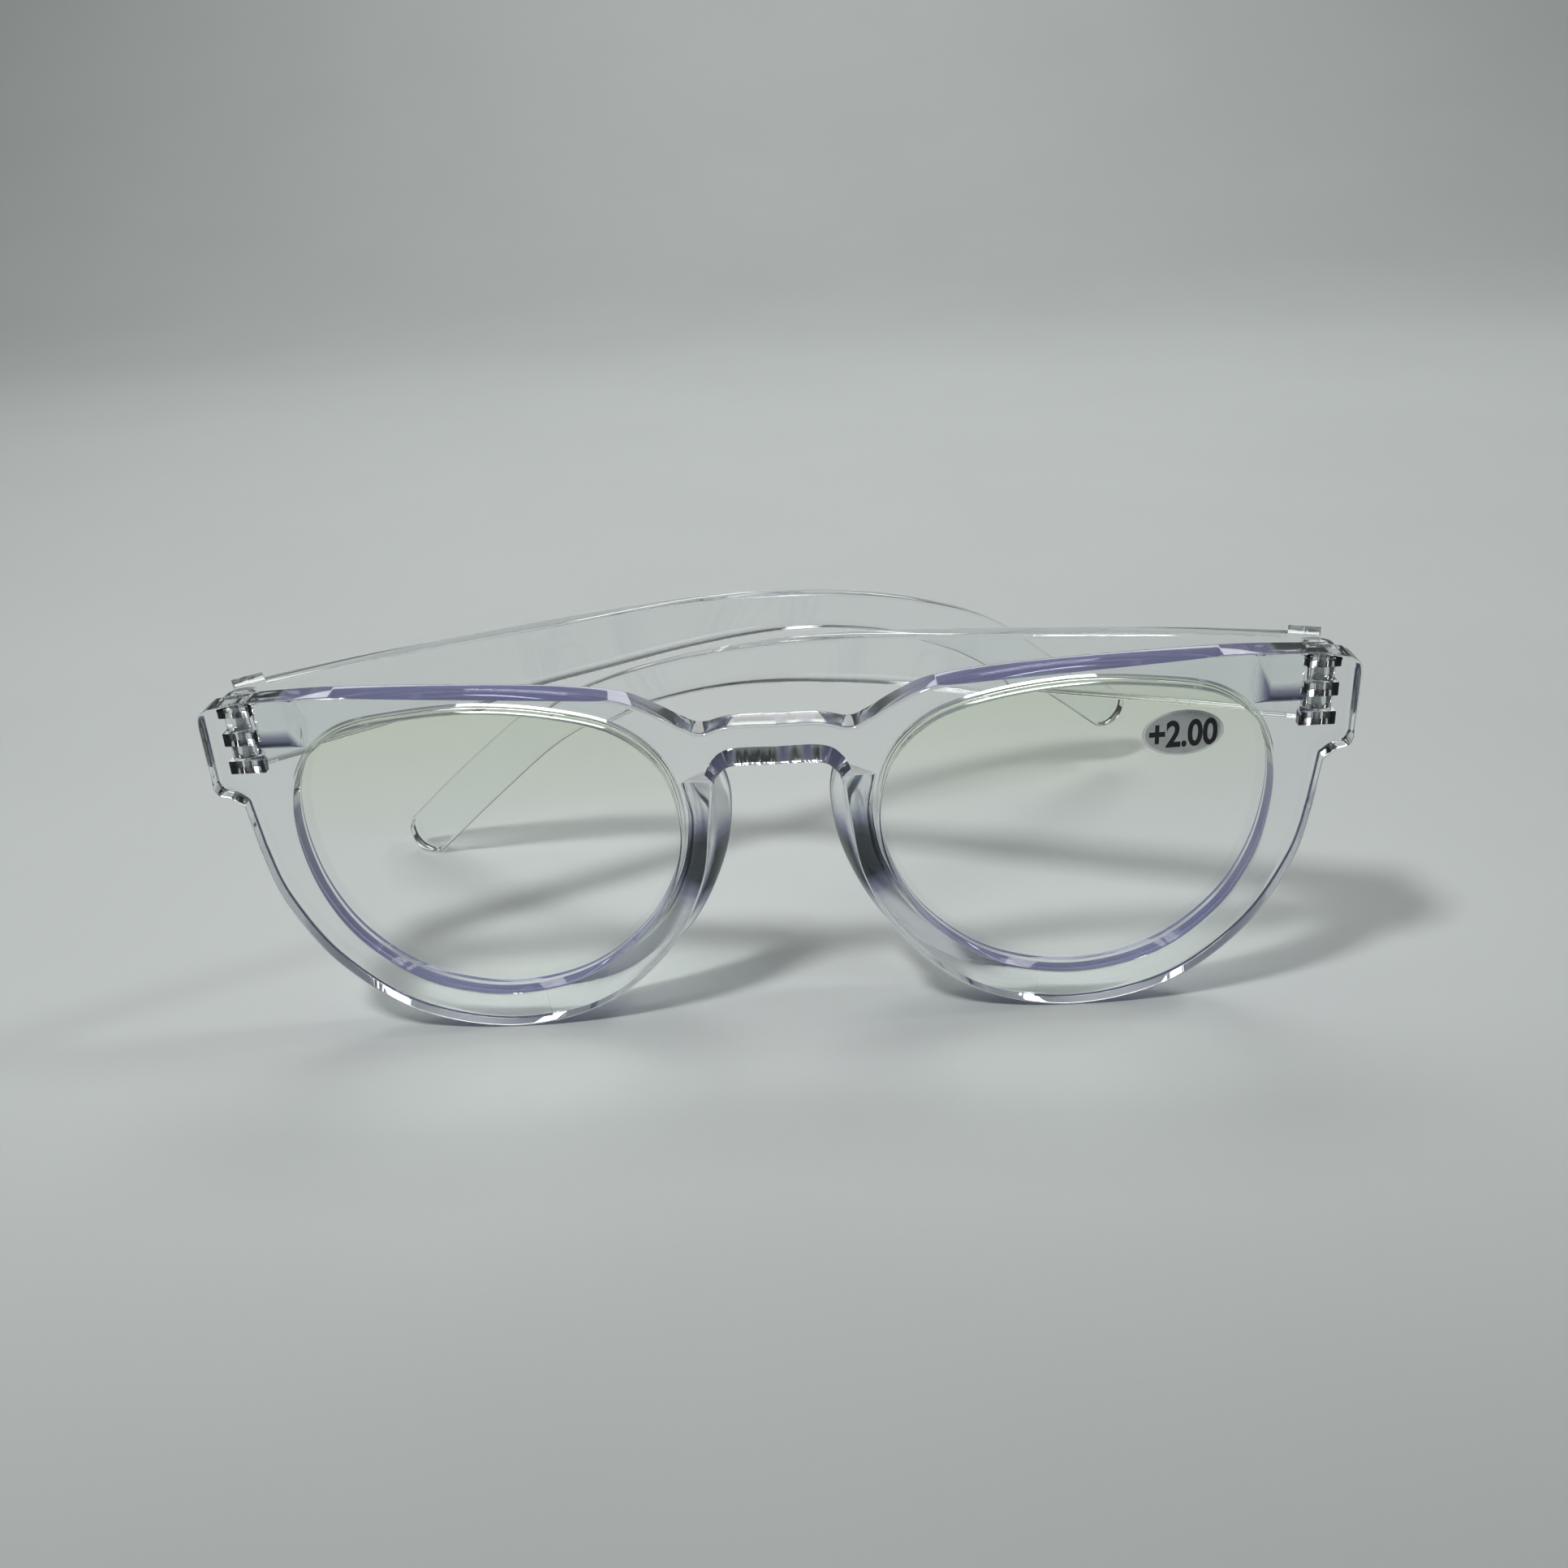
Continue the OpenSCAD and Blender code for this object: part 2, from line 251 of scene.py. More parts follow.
def rounded_slab(name: str, outline: Sequence[Point], low: float, high: float, radius: float,
                 place: Place, steps: int = 5) -> bpy.types.Object:
    """A slab of one outline with rounded edges on both faces.

    Args:
        name: The name of the piece.
        outline: The closed outline.
        low: Where the first face lies.
        high: Where the other face lies.
        radius: The radius of the edges.
        place: Turns an outline's two values and a depth into a point in space.
        steps: How many straight pieces round an edge.

    Returns:
        The slab.
    """
    shell = Shell()
    loop = anticlockwise(outline)
    near = edge_steps(radius, steps)
    profile = [(d, low + y) for d, y in near] + [(d, high - y) for d, y in reversed(near)]
    rings = [shell.ring(place(p[0], p[1], depth) for p in grown(loop, -inset))
             for inset, depth in profile]
    shell.wall(rings)
    shell.fill([rings[0]])
    shell.fill([rings[-1]])
    return shell.piece(name)


def worked(piece: bpy.types.Object, tool: bpy.types.Object, how: Join) -> bpy.types.Object:
    """Works one solid into another and drops it.

    Args:
        piece: The solid that stays.
        tool: The solid that is added or cut away.
        how: Whether it is added or cut away.

    Returns:
        The piece, with its new mesh.
    """
    change = piece.modifiers.new("work", "BOOLEAN")
    change.operation = how.value
    change.object = tool
    change.solver = "MANIFOLD"
    graph = bpy.context.evaluated_depsgraph_get()
    made = bpy.data.meshes.new_from_object(piece.evaluated_get(graph))
    piece.modifiers.clear()
    piece.data = made
    bpy.data.objects.remove(tool)
    return piece


def moved(piece: bpy.types.Object, matrix: Matrix) -> bpy.types.Object:
    """Moves the mesh itself, and turns its faces back if the move mirrors it.

    Args:
        piece: The piece.
        matrix: The move, in metres.

    Returns:
        The piece.
    """
    piece.data.transform(matrix)
    if matrix.determinant() < 0:
        piece.data.flip_normals()
    return piece


def polished(piece: bpy.types.Object, sharp: float = 32.0) -> None:
    """Gives a moulding smooth walls, true flats and crisp creases.

    Args:
        piece: The moulding.
        sharp: The angle in degrees above which an edge stays crisp.
    """
    data = piece.data
    data.polygons.foreach_set("use_smooth", [True] * len(data.polygons))
    data.set_sharp_from_angle(angle=math.radians(sharp))
    flats = piece.modifiers.new("flats", "WEIGHTED_NORMAL")
    flats.keep_sharp = True
    flats.weight = 80


# Finishes


class NodeSheet:
    """The nodes of one material or of the room, built a node at a time."""

    def __init__(self, owner: bpy.types.Material | bpy.types.World) -> None:
        """Empties the owner's node tree and adds the output that it needs.

        Args:
            owner: The material, or the room, that the nodes belong to.
        """
        owner.use_nodes = True
        self.owner = owner
        self.tree = owner.node_tree
        self.tree.nodes.clear()
        is_room = isinstance(owner, bpy.types.World)
        self.out = self.add("ShaderNodeOutputWorld" if is_room else "ShaderNodeOutputMaterial")

    def add(self, kind: str, **values: object) -> bpy.types.Node:
        """Adds a node and sets its sockets.

        Args:
            kind: The node's type.
            values: What its sockets are set to, by name, with _ for a space.

        Returns:
            The node.
        """
        node = self.tree.nodes.new(kind)
        for name, value in values.items():
            node.inputs[name.replace("_", " ")].default_value = value
        return node

    def link(self, source: bpy.types.Node, output: str | int, target: bpy.types.Node,
             socket: str | int) -> None:
        """Joins an output to an input."""
        self.tree.links.new(source.outputs[output], target.inputs[socket])

    def noise(self, scale: float, detail: float = 3.0, rough: float = 0.5) -> bpy.types.Node:
        """Adds a noise that is fixed to the piece.

        Args:
            scale: How fine it is.
            detail: How many finer layers it has.
            rough: How strong those layers are.

        Returns:
            The noise.
        """
        where = self.add("ShaderNodeTexCoord")
        made = self.add("ShaderNodeTexNoise", Scale=scale, Detail=detail, Roughness=rough)
        self.link(where, "Object", made, "Vector")
        return made

    def ramp(self, source: bpy.types.Node, output: str,
             stops: Sequence[tuple[float, Colour]]) -> bpy.types.Node:
        """Adds a colour ramp behind an output.

        Args:
            source: The node that drives it.
            output: The output of that node.
            stops: Its positions, each with a colour.

        Returns:
            The ramp.
        """
        made = self.add("ShaderNodeValToRGB")
        bar = made.color_ramp
        while len(bar.elements) < len(stops):
            bar.elements.new(0.5)
        for element, (position, colour) in zip(bar.elements, stops):
            element.position = position
            element.color = (*colour, 1.0)
        self.link(source, output, made, "Fac")
        return made

    def axes(self, coordinates: str = "Object") -> bpy.types.Node:
        """Adds a split of a place into X, Y and Z.

        Args:
            coordinates: Which coordinates it splits; a piece's own are Object.

        Returns:
            The split.
        """
        where = self.add("ShaderNodeTexCoord")
        made = self.add("ShaderNodeSeparateXYZ")
        self.link(where, coordinates, made, "Vector")
        return made

    def mapped(self, source: bpy.types.Node, output: str, start: float, end: float,
               low: float = 0.0, high: float = 1.0) -> bpy.types.Node:
        """Maps an output onto a range.

        Args:
            source: The node that is mapped.
            output: The output of that node.
            start: The value that becomes low.
            end: The value that becomes high.
            low: The start of the range.
            high: The end of the range.

        Returns:
            The node that gives the range.
        """
        made = self.add("ShaderNodeMapRange", From_Min=start, From_Max=end, To_Min=low, To_Max=high)
        self.link(source, output, made, "Value")
        return made

    def gloss(self, body: bpy.types.Node, texture: bpy.types.Node, low: float, high: float) -> None:
        """Lets a noise vary the roughness of a body from low to high."""
        self.link(self.mapped(texture, "Fac", 0.3, 0.7, low, high), "Result", body, "Roughness")

    def relief(self, body: bpy.types.Node, texture: bpy.types.Node, strength: float,
               height: float) -> None:
        """Lets a texture raise the surface a little.

        Args:
            body: The shader whose surface it is.
            texture: The texture.
            strength: How much of it shows, 0 to 1.
            height: How high it rises, in metres.
        """
        bump = self.add("ShaderNodeBump", Strength=strength, Distance=height)
        self.link(texture, "Fac", bump, "Height")
        self.link(bump, "Normal", body, "Normal")

    def tinted(self, share: bpy.types.Node, output: str, base: bpy.types.Node,
               base_output: str | int, colour: Colour) -> bpy.types.Node:
        """Adds a mix from a base to a colour, and returns it.

        Args:
            share: The node that says how much of the colour shows, 0 to 1.
            output: The output of that node.
            base: The node that gives the base colour.
            base_output: The output of that node.
            colour: The colour at a share of 1.

        Returns:
            The mix, whose colour is its output MIXED.
        """
        made = self.add("ShaderNodeMix")
        made.data_type = "RGBA"
        made.inputs[MIX_COLOUR].default_value = (*colour, 1.0)
        self.link(share, output, made, 0)
        self.link(base, base_output, made, MIX_BASE)
        return made


@dataclass(frozen=True)
class ClearFinish:
    """Clear moulded plastic: what it lets through, its gloss and the tint in its depth."""

    name: str
    pale: Colour
    deep: Colour
    ior: float
    smear: float
    ripple: float
    ripple_scale: float
    depth_tint: Colour
    depth_density: float
    shadow: Colour
    # Painted reflections for the front's walls: a violet colour and a dark colour that stand in for
    # the room seen through the plastic, and how much light still passes where the dark one is
    # painted.
    painted_wall_reflection: Colour | None = None
    painted_dark_reflection: Colour = (0.015, 0.025, 0.035)
    painted_dark_through: float = 0.15
    # Painted reflection of the lens coating, which grows between these two heights.
    painted_coating_reflection: Colour | None = None
    top_from: float = 0.028
    top_to: float = 0.046
    smear_scale: float = 160.0
    ripple_height: float = 0.0004

    def material(self) -> bpy.types.Material:
        """Makes the finish: flow ripples, faint handling smears and tint by depth.

        Returns:
            The material.
        """
        sheet = NodeSheet(bpy.data.materials.new(self.name))
        body = sheet.add("ShaderNodeBsdfPrincipled", Transmission_Weight=1.0, IOR=self.ior)
        flow = sheet.noise(self.ripple_scale, 2.0)
        self.tone(sheet, body, flow)
        sheet.gloss(body, sheet.noise(self.smear_scale, 4.0, 0.6), 0.0, self.smear)
        sheet.relief(body, flow, self.ripple, self.ripple_height)
        lamp = sheet.add("ShaderNodeLightPath")
        open_way = sheet.add("ShaderNodeBsdfTransparent", Color=(*self.shadow, 1.0))
        mix = sheet.add("ShaderNodeMixShader")
        sheet.link(lamp, "Is Shadow Ray", mix, 0)
        sheet.link(body, "BSDF", mix, 1)
        sheet.link(open_way, "BSDF", mix, 2)
        sheet.link(mix, "Shader", sheet.out, "Surface")
        tint = sheet.add("ShaderNodeVolumeAbsorption", Color=(*self.depth_tint, 1.0),
                         Density=self.depth_density)
        sheet.link(tint, "Volume", sheet.out, "Volume")
        return sheet.owner

    def tone(self, sheet: NodeSheet, body: bpy.types.Node, flow: bpy.types.Node) -> None:
        """Gives the body its colour.

        Faces marked as walls take a painted violet reflection at a mark of 1 and a painted dark
        reflection at 2, and let less light through. A painted coating reflection grows from the
        middle of the piece to its top.

        Args:
            sheet: The material's nodes.
            body: The plastic itself.
            flow: The noise that varies its pale tone.
        """
        tone = sheet.ramp(flow, "Fac", ((0.3, self.pale), (0.7, self.deep)))
        colour, output = tone, "Color"
        # Painted reflections: marked walls turn violet at a mark of 1 and dark at 2, and let less
        # light through.
        if self.painted_wall_reflection:
            mark = sheet.add("ShaderNodeAttribute")
            mark.attribute_name = PAINTED_REFLECTION_MARK
            walls = sheet.tinted(mark, "Fac", tone, "Color", self.painted_wall_reflection)
            over = sheet.mapped(mark, "Fac", 1.0, 2.0)
            colour, output = sheet.tinted(over, "Result", walls, MIXED, self.painted_dark_reflection), MIXED
            painted_reflection_cover = sheet.mapped(mark, "Fac", 0.0, 2.0, 1.0, self.painted_dark_through)
            sheet.link(painted_reflection_cover, "Result", body, "Transmission Weight")
        # Painted coating reflection, stronger towards the top of the piece.
        elif self.painted_coating_reflection:
            height = sheet.mapped(sheet.axes(), "Z", self.top_from, self.top_to)
            colour, output = sheet.tinted(height, "Result", tone, "Color", self.painted_coating_reflection), MIXED
        sheet.link(colour, output, body, "Base Color")


@dataclass(frozen=True)
class SteelFinish:
    """Turned steel of a small screw."""

    name: str = "turned_steel"
    bright: Colour = (0.72, 0.72, 0.74)
    dull: Colour = (0.46, 0.46, 0.49)
    patch_scale: float = 1500.0
    mark_scale: float = 2200.0
    mark_height: float = 0.00003

    def material(self) -> bpy.types.Material:
        """Makes the finish, with fine turning marks and darker patches.

        Returns:
            The material.
        """
        sheet = NodeSheet(bpy.data.materials.new(self.name))
        body = sheet.add("ShaderNodeBsdfPrincipled", Metallic=1.0)
        patches = sheet.noise(self.patch_scale)
        tone = sheet.ramp(patches, "Fac", ((0.35, self.dull), (0.65, self.bright)))
        sheet.link(tone, "Color", body, "Base Color")
        sheet.gloss(body, patches, 0.18, 0.4)
        where = sheet.add("ShaderNodeTexCoord")
        marks = sheet.add("ShaderNodeTexWave", Scale=self.mark_scale, Distortion=0.6, Detail=1.0)
        marks.bands_direction = "Z"
        sheet.link(where, "Object", marks, "Vector")
        sheet.relief(body, marks, 0.25, self.mark_height)
        sheet.link(body, "BSDF", sheet.out, "Surface")
        return sheet.owner


@dataclass(frozen=True)
class FilmFinish:
    """Thin printed film, with fine mottling."""

    name: str
    light: Colour
    dark: Colour
    rough: tuple[float, float]
    metal: float = 0.0
    mottle_scale: float = 900.0
    mottle_height: float = 0.00002

    def material(self) -> bpy.types.Material:
        """Makes the finish, with a fine mottle in colour, gloss and height.

        Returns:
            The material.
        """
        sheet = NodeSheet(bpy.data.materials.new(self.name))
        body = sheet.add("ShaderNodeBsdfPrincipled", Metallic=self.metal)
        mottle = sheet.noise(self.mottle_scale, 4.0, 0.6)
        tone = sheet.ramp(mottle, "Fac", ((0.3, self.dark), (0.7, self.light)))
        sheet.link(tone, "Color", body, "Base Color")
        sheet.gloss(body, mottle, *self.rough)
        sheet.relief(body, mottle, 0.15, self.mottle_height)
        sheet.link(body, "BSDF", sheet.out, "Surface")
        return sheet.owner


# The front


@dataclass(frozen=True)
class Sizes:
    """The sizes that the front, the lenses and the temples share, in millimetres."""

    lens_w: float = 50.0
    lens_h: float = 41.5
    bridge_w: float = 26.0
    groove_d: float = 0.7
    lens_gap: float = 0.03
    lens_front_r: float = 180.0
    lens_back_r: float = 300.0
    lens_mid_t: float = 1.8
    lens_set: float = 1.0
    front_w: float = 145.0
    front_d: float = 4.4
    rim_w: float = 5.5
    brow_w: float = 3.2
    nasal_w: float = 4.0
    bridge_h: float = 5.6
    bridge_drop: float = 6.4
    facet_d: float = 0.6
    facet_lean: float = 12.0
    facet_rise: float = -3.5
    facet_from: float = 0.36
    facet_below: float = 2.25
    bevel_w: float = 1.4
    bevel_d: float = 2.4
    pad_d: float = 4.4
    pad_lean: float = 2.3
    pad_drop: float = 3.2
    pad_root: float = 1.0
    hinge_h: float = 9.6
    hinge_drop: float = 1.4
    leaf_r: float = 1.9
    leaf_gap: float = 0.15
    swing_gap: float = 0.3
    hinge_inset: float = 3.7
    root_in: float = 0.5
    web: float = 0.8
    block_h: float = 6.2
    block_l: float = 7.0
    block_top: float = 4.0
    block_d: float = 1.3
    screw_r: float = 0.7
    screw_head_r: float = 1.2
    screw_head_h: float = 0.7
    screw_gap: float = 0.05
    temple_l: float = 138.0
    temple_t: float = 3.3
    temple_h: float = 10.7
    temple_drop: float = 1.1
    step_l: float = 4.0
    step_h: float = 0.5
    waist_h: float = 5.6
    ear_w: float = 7.1
    left_fold: float = 19.5
    right_fold: float = 27.5
    right_lift: float = 3.2
    label_w: float = 10.4
    label_h: float = 6.0
    label_at: Point = (0.27, 0.315)

    @property
    def cx(self) -> float:
        """How far the middle of a lens is from the middle of the front."""
        return (self.bridge_w + self.lens_w) / 2

    @property
    def cz(self) -> float:
        """Height of the middle of a lens."""
        return self.rim_w + self.lens_h / 2

    @property
    def brow_z(self) -> float:
        """Height of the top of the brow."""
        return self.cz + self.lens_h / 2 + self.brow_w

    @property
    def under_z(self) -> float:
        """Height of the underside of the bridge."""
        return self.brow_z - self.bridge_drop - self.bridge_h

    @property
    def arch(self) -> list[Point]:
        """The left half of the arch of the bridge, from the nose pad to the middle."""
        out, up = self.bridge_w / 2, self.under_z
        return [(out - 4.8, up - 2.8), (out - 5.7, up - 1), (out - 7.6, up), (0, up)]

    @property
    def axis_x(self) -> float:
        """How far a hinge axis is from the middle."""
        return self.front_w / 2 - self.hinge_inset

    @property
    def axis_y(self) -> float:
        """How far a hinge axis is behind the front face."""
        return self.front_d + self.leaf_r + self.swing_gap

    @property
    def hinge_z(self) -> float:
        """Height of the bottom of the lowest leaf."""
        return self.brow_z - self.hinge_drop - self.hinge_h

    @property
    def hinge_top(self) -> float:
        """Height of the top of the highest leaf."""
        return self.hinge_z + self.hinge_h

    @property
    def arm_top(self) -> float:
        """Height of the top of a temple at the hinge."""
        return self.brow_z - self.temple_drop

    @property
    def arm_start(self) -> float:
        """How far a temple starts behind its hinge axis."""
        return 1.7 - self.leaf_r

    @property
    def block_end(self) -> float:
        """How far the outer end of a leaf block is from the middle."""
        return self.axis_x - self.leaf_r - self.swing_gap

    @property
    def leaf_h(self) -> float:
        """Height of one leaf."""
        return (self.hinge_h - 4 * self.leaf_gap) / 5

    def leaf_z(self, i: int) -> float:
        """Bottom of leaf i of the five."""
        return self.hinge_z + i * (self.leaf_h + self.leaf_gap)

    def in_lens(self, share: Point, grow: float) -> Point:
        """A place given in shares of the lens opening, made larger all round by grow."""
        return (self.cx + share[0] * (self.lens_w / 2 + grow),
                self.cz + share[1] * (self.lens_h / 2 + grow))

    def on_rim(self, share: Point) -> Point:
        """Finds a place on the outer edge of the rim.

        Args:
            share: The place, in shares of the lens opening.

        Returns:
            The place on the front view.
        """
        beside = self.nasal_w if share[0] < 0 else self.rim_w
        return (self.cx + share[0] * (self.lens_w / 2 + beside),
                self.cz + share[1] * (self.lens_h / 2 + self.rim_w))

    def lens_front(self, x: float, z: float) -> float:
        """How far the front surface of the lens is behind the front face at a place."""
        across = math.hypot(x - self.cx, z - self.cz)
        return self.lens_set + self.lens_front_r - math.sqrt(self.lens_front_r ** 2 - across ** 2)

    def lens_back(self, x: float, z: float) -> float:
        """Finds the back surface of the lens at a place.

        Args:
            x: The place along X.
            z: Its height.

        Returns:
            How far the surface is behind the front face.
        """
        across = math.hypot(x - self.cx, z - self.cz)
        return (self.lens_set + self.lens_mid_t + self.lens_back_r
                - math.sqrt(self.lens_back_r ** 2 - across ** 2))


LENS_SHAPE = ((0.99, 0.3), (0.92, 0.67), (0.71, 0.895), (0.38, 0.975), (0, 1), (-0.4, 0.94),
              (-0.72, 0.81), (-0.93, 0.55), (-1, 0.18), (-0.94, -0.2), (-0.76, -0.575),
              (-0.43, -0.885), (0, -1), (0.43, -0.885), (0.75, -0.575), (0.93, -0.17))
RIM_SHAPE = ((0.99, 0.1), (0.93, -0.2), (0.75, -0.575), (0.43, -0.885), (0, -1), (-0.43, -0.885),
             (-0.76, -0.575), (-0.94, -0.2), (-1, 0.15))
PAD_SHAPE = ((-0.975, 0.4, 0.75), (-1, 0.15, 1), (-0.94, -0.2, 1), (-0.76, -0.575, 0.85),
             (-0.43, -0.885, 0.45), (-0.15, -0.98, 0.05))
ARM_LINE = ((0.11, 0.008), (0.23, 0.026), (0.35, 0.048), (0.465, 0.075), (0.565, 0.124),
            (0.652, 0.198), (0.739, 0.31), (0.826, 0.473), (0.913, 0.724))


def front_view(x: float, z: float, depth: float) -> Vector:
    """Puts a point of the front view into space, depth behind the front face."""
    return Vector((x, depth, z))


def plan_view(x: float, y: float, height: float) -> Vector:
    """Puts a point of the plan view into space, at a height."""
    return Vector((x, y, height))


@dataclass
class Frontal:
    """The front moulding: rims, bridge, nose pads, end pieces and fixed hinge leaves."""

    sizes: Sizes
    steps: int = 12
    edge_r: float = 0.45
    rim_edge_r: float = 0.3
    back_edge_r: float = 0.12
    leaf_edge_r: float = 0.12
    block_edge_r: float = 0.2
    bridge_reach: float = 20.0
    bridge_clear: float = 14.0

    def opening(self) -> list[Point]:
        """The outline of the left lens opening."""
        return anticlockwise(loop_curve([self.sizes.in_lens(p, 0) for p in LENS_SHAPE],
                                        self.steps))

    def outline(self) -> list[Point]:
        """Draws the edge of the whole front.

        Returns:
            The closed outline, in anticlockwise order.
        """
        s = self.sizes
        half_w, top, mid = s.front_w / 2, s.brow_z, s.brow_z - s.bridge_drop
        brow = open_curve([(0, mid), (s.bridge_w * 0.21, mid), (s.bridge_w * 0.36, mid - 0.8),
                           (s.cx - s.lens_w * 0.525, mid + 0.1), (s.cx - s.lens_w * 0.45, top - 4.1),
                           (s.cx - s.lens_w * 0.37, top - 2.4), (s.cx - s.lens_w * 0.24, top - 1.4),
                           (s.cx - s.lens_w * 0.04, top - 0.7), (s.cx + s.lens_w * 0.2, top - 0.2),
                           (s.cx + s.lens_w * 0.4, top), (half_w - 5.5, top - 0.3)], self.steps)
        corner = open_curve([(half_w - 1.6, top - 0.9), (half_w - 0.3, top - 1.8),
                             (half_w, top - 3.2)], self.steps // 2)
        foot = open_curve([(half_w, s.hinge_z - 0.8), (half_w - 0.6, s.hinge_z - 2),
                           (half_w - 2.1, s.hinge_z - 2.5), (half_w - 3.5, s.hinge_z - 3.6)],
                          self.steps // 2)
        lower = open_curve([s.on_rim(p) for p in RIM_SHAPE] + s.arch, self.steps)
        half = brow + corner + foot + lower
        return anticlockwise(half + [(-x, z) for x, z in reversed(half[1:-1])])

    def plate(self) -> bpy.types.Object:
        """Makes the flat part of the front, with both openings and their grooves.

        Returns:
            The flat part.
        """
        s = self.sizes
        shell = Shell()
        outer = self.outline()
        near = edge_steps(self.edge_r, 5)
        profile = [*near, *((d, s.front_d - y) for d, y in reversed(near))]
        rings = [shell.ring(front_view(x, z, depth) for x, z in grown(outer, -inset))
                 for inset, depth in profile]
        shell.wall(rings)
        fronts, backs = [rings[0]], [rings[-1]]
        for side in Side:
            walls = self.groove_rings(shell, side)
            shell.wall(walls)
            fronts.append(walls[0])
            backs.append(walls[-1])
        shell.fill(fronts)
        shell.fill(backs)
        return shell.piece("front_frame_moulding")

    def groove_rings(self, shell: Shell, side: Side) -> list[list[bmesh.types.BMVert]]:
        """The rings down the wall of one opening, through the groove that holds the lens.

        Args:
            shell: The mesh that gets the corners.
            side: Which opening it is.

        Returns:
            The rings from the front face to the back face.
        """
        s = self.sizes
        loop = self.opening()
        out = turned_out(loop)
        near = edge_steps(self.rim_edge_r, 4)
        back = edge_steps(self.back_edge_r, 3)

        def lip(x: float, z: float) -> float:
            """Depth of the front wall of the groove."""
            return s.lens_front(x, z) - s.lens_gap

        def ledge(x: float, z: float) -> float:
            """Depth of the back wall of the groove."""
            return s.lens_back(x, z) + s.lens_gap

        stack: list[tuple[float, Callable[[float, float], float]]] = [
            *((d, lambda x, z, y=y: y) for d, y in near),
            (0.0, lip), (s.groove_d, lip), (s.groove_d, ledge), (0.0, ledge),
            *((d, lambda x, z, y=y: s.front_d - y) for d, y in reversed(back))]
        rings = []
        for grow, depth in stack:
            points = [(p[0] + grow * v[0], p[1] + grow * v[1]) for p, v in zip(loop, out)]
            rings.append(shell.ring(front_view(side.value * x, z, depth(x, z)) for x, z in points))
        return rings

    def facet_tool(self, side: Side) -> bpy.types.Object:
        """Makes the block whose flat underside cuts the facet along one brow.

        Args:
            side: Which brow it is for.

        Returns:
            The block, in its place.
        """
        s = self.sizes
        past, low = 5.0, 0.6 - s.facet_d
        plan = ((-past, -2), (s.lens_w - past, -2), (s.lens_w - past, 7), (-past, 7))
        block = rounded_slab("facet_tool", plan, low, low + past, 0.05, plan_view, 1)
        start = Vector((s.cx - s.lens_w * s.facet_from, 0, s.brow_z - s.facet_below)) * MM
        turn = (Matrix.Translation(start) @ Matrix.Rotation(math.radians(s.facet_rise), 4, "Y")
                @ Matrix.Rotation(math.radians(s.facet_lean), 4, "X"))
        return moved(block, Matrix.Diagonal((side.value, 1, 1, 1)) @ turn)

    def arch_tool(self) -> bpy.types.Object:
        """Makes the three-sided bar that cuts the bevel behind the arch of the bridge.

        Returns:
            The bar, in its place.
        """
        s = self.sizes
        half = open_curve(s.arch, self.steps)
        line = half + [(-x, z) for x, z in reversed(half[:-1])]
        shell, past, rings = Shell(), 0.2, []
        for i, (x, z) in enumerate(line):
            run = Vector(line[min(i + 1, len(line) - 1)]) - Vector(line[max(i - 1, 0)])
            run.normalize()
            rings.append(shell.ring(
                front_view(x + run.y * up, z - run.x * up, s.front_d + depth)
                for up, depth in ((-s.bevel_w * past, -s.bevel_d * (1 + past)),
                                  (-s.bevel_w * past, s.bevel_d * past),
                                  (s.bevel_w * (1 + past), s.bevel_d * past))))
        shell.wall(rings)
        shell.fill([rings[0]])
        shell.fill([rings[-1]])
        return shell.piece("arch_tool")

    def pad_section(self, x: float, z: float, swell: float) -> list[Vector]:
        """One closed section of a nose pad.

        Args:
            x: Share of the half width of the lens opening.
            z: Share of the half height of the lens opening.
            swell: How much of its full size the pad has here.

        Returns:
            The section's points in space.
        """
        s = self.sizes
        root = Vector(s.on_rim((x, z)))
        out = Vector((x, z)).normalized()
        tip = root + out * s.pad_lean * swell
        inner, rise = Vector(s.in_lens((x, z), 1)), Vector(s.in_lens((x, z), 1.6))
        corners = [(*(root - out * 0.3), s.front_d - s.pad_root), (*inner, s.front_d - s.pad_root),
                   (*rise, s.front_d + 0.3 * s.pad_d * swell),
                   (*(tip - out * 1.6), s.front_d + s.pad_d * swell * 0.97),
                   (*(tip - out * 0.25), s.front_d + s.pad_d * swell * 0.93),
                   (*tip, s.front_d + 0.7 * s.pad_d * swell)]
        return [front_view(*p) for p in loop_curve(corners, 5)]

    def nose_pad(self, side: Side) -> bpy.types.Object:
        """Makes one moulded nose pad, which grows out of the back of the rim and has a flat top.

        Args:
            side: Which side it is for.

        Returns:
            The pad.
        """
        shell = Shell()
        rings = [shell.ring(Vector((side.value * p.x, p.y, p.z)) for p in self.pad_section(*row))
                 for row in open_curve(PAD_SHAPE, 7)]
        shell.wall(rings)
        shell.fill([rings[0]])
        shell.fill([rings[-1]])
        s = self.sizes
        low, wide, deep = s.under_z - s.pad_drop, s.bridge_w, s.front_d + s.pad_d + 2
        plan = ((0, 0), (side.value * wide, 0), (side.value * wide, deep), (0, deep))
        trim = rounded_slab("pad_trim", plan, low, low + 9, FINE_EDGE, plan_view, 1)
        return worked(shell.piece("nose_pad"), trim, Join.CUT)

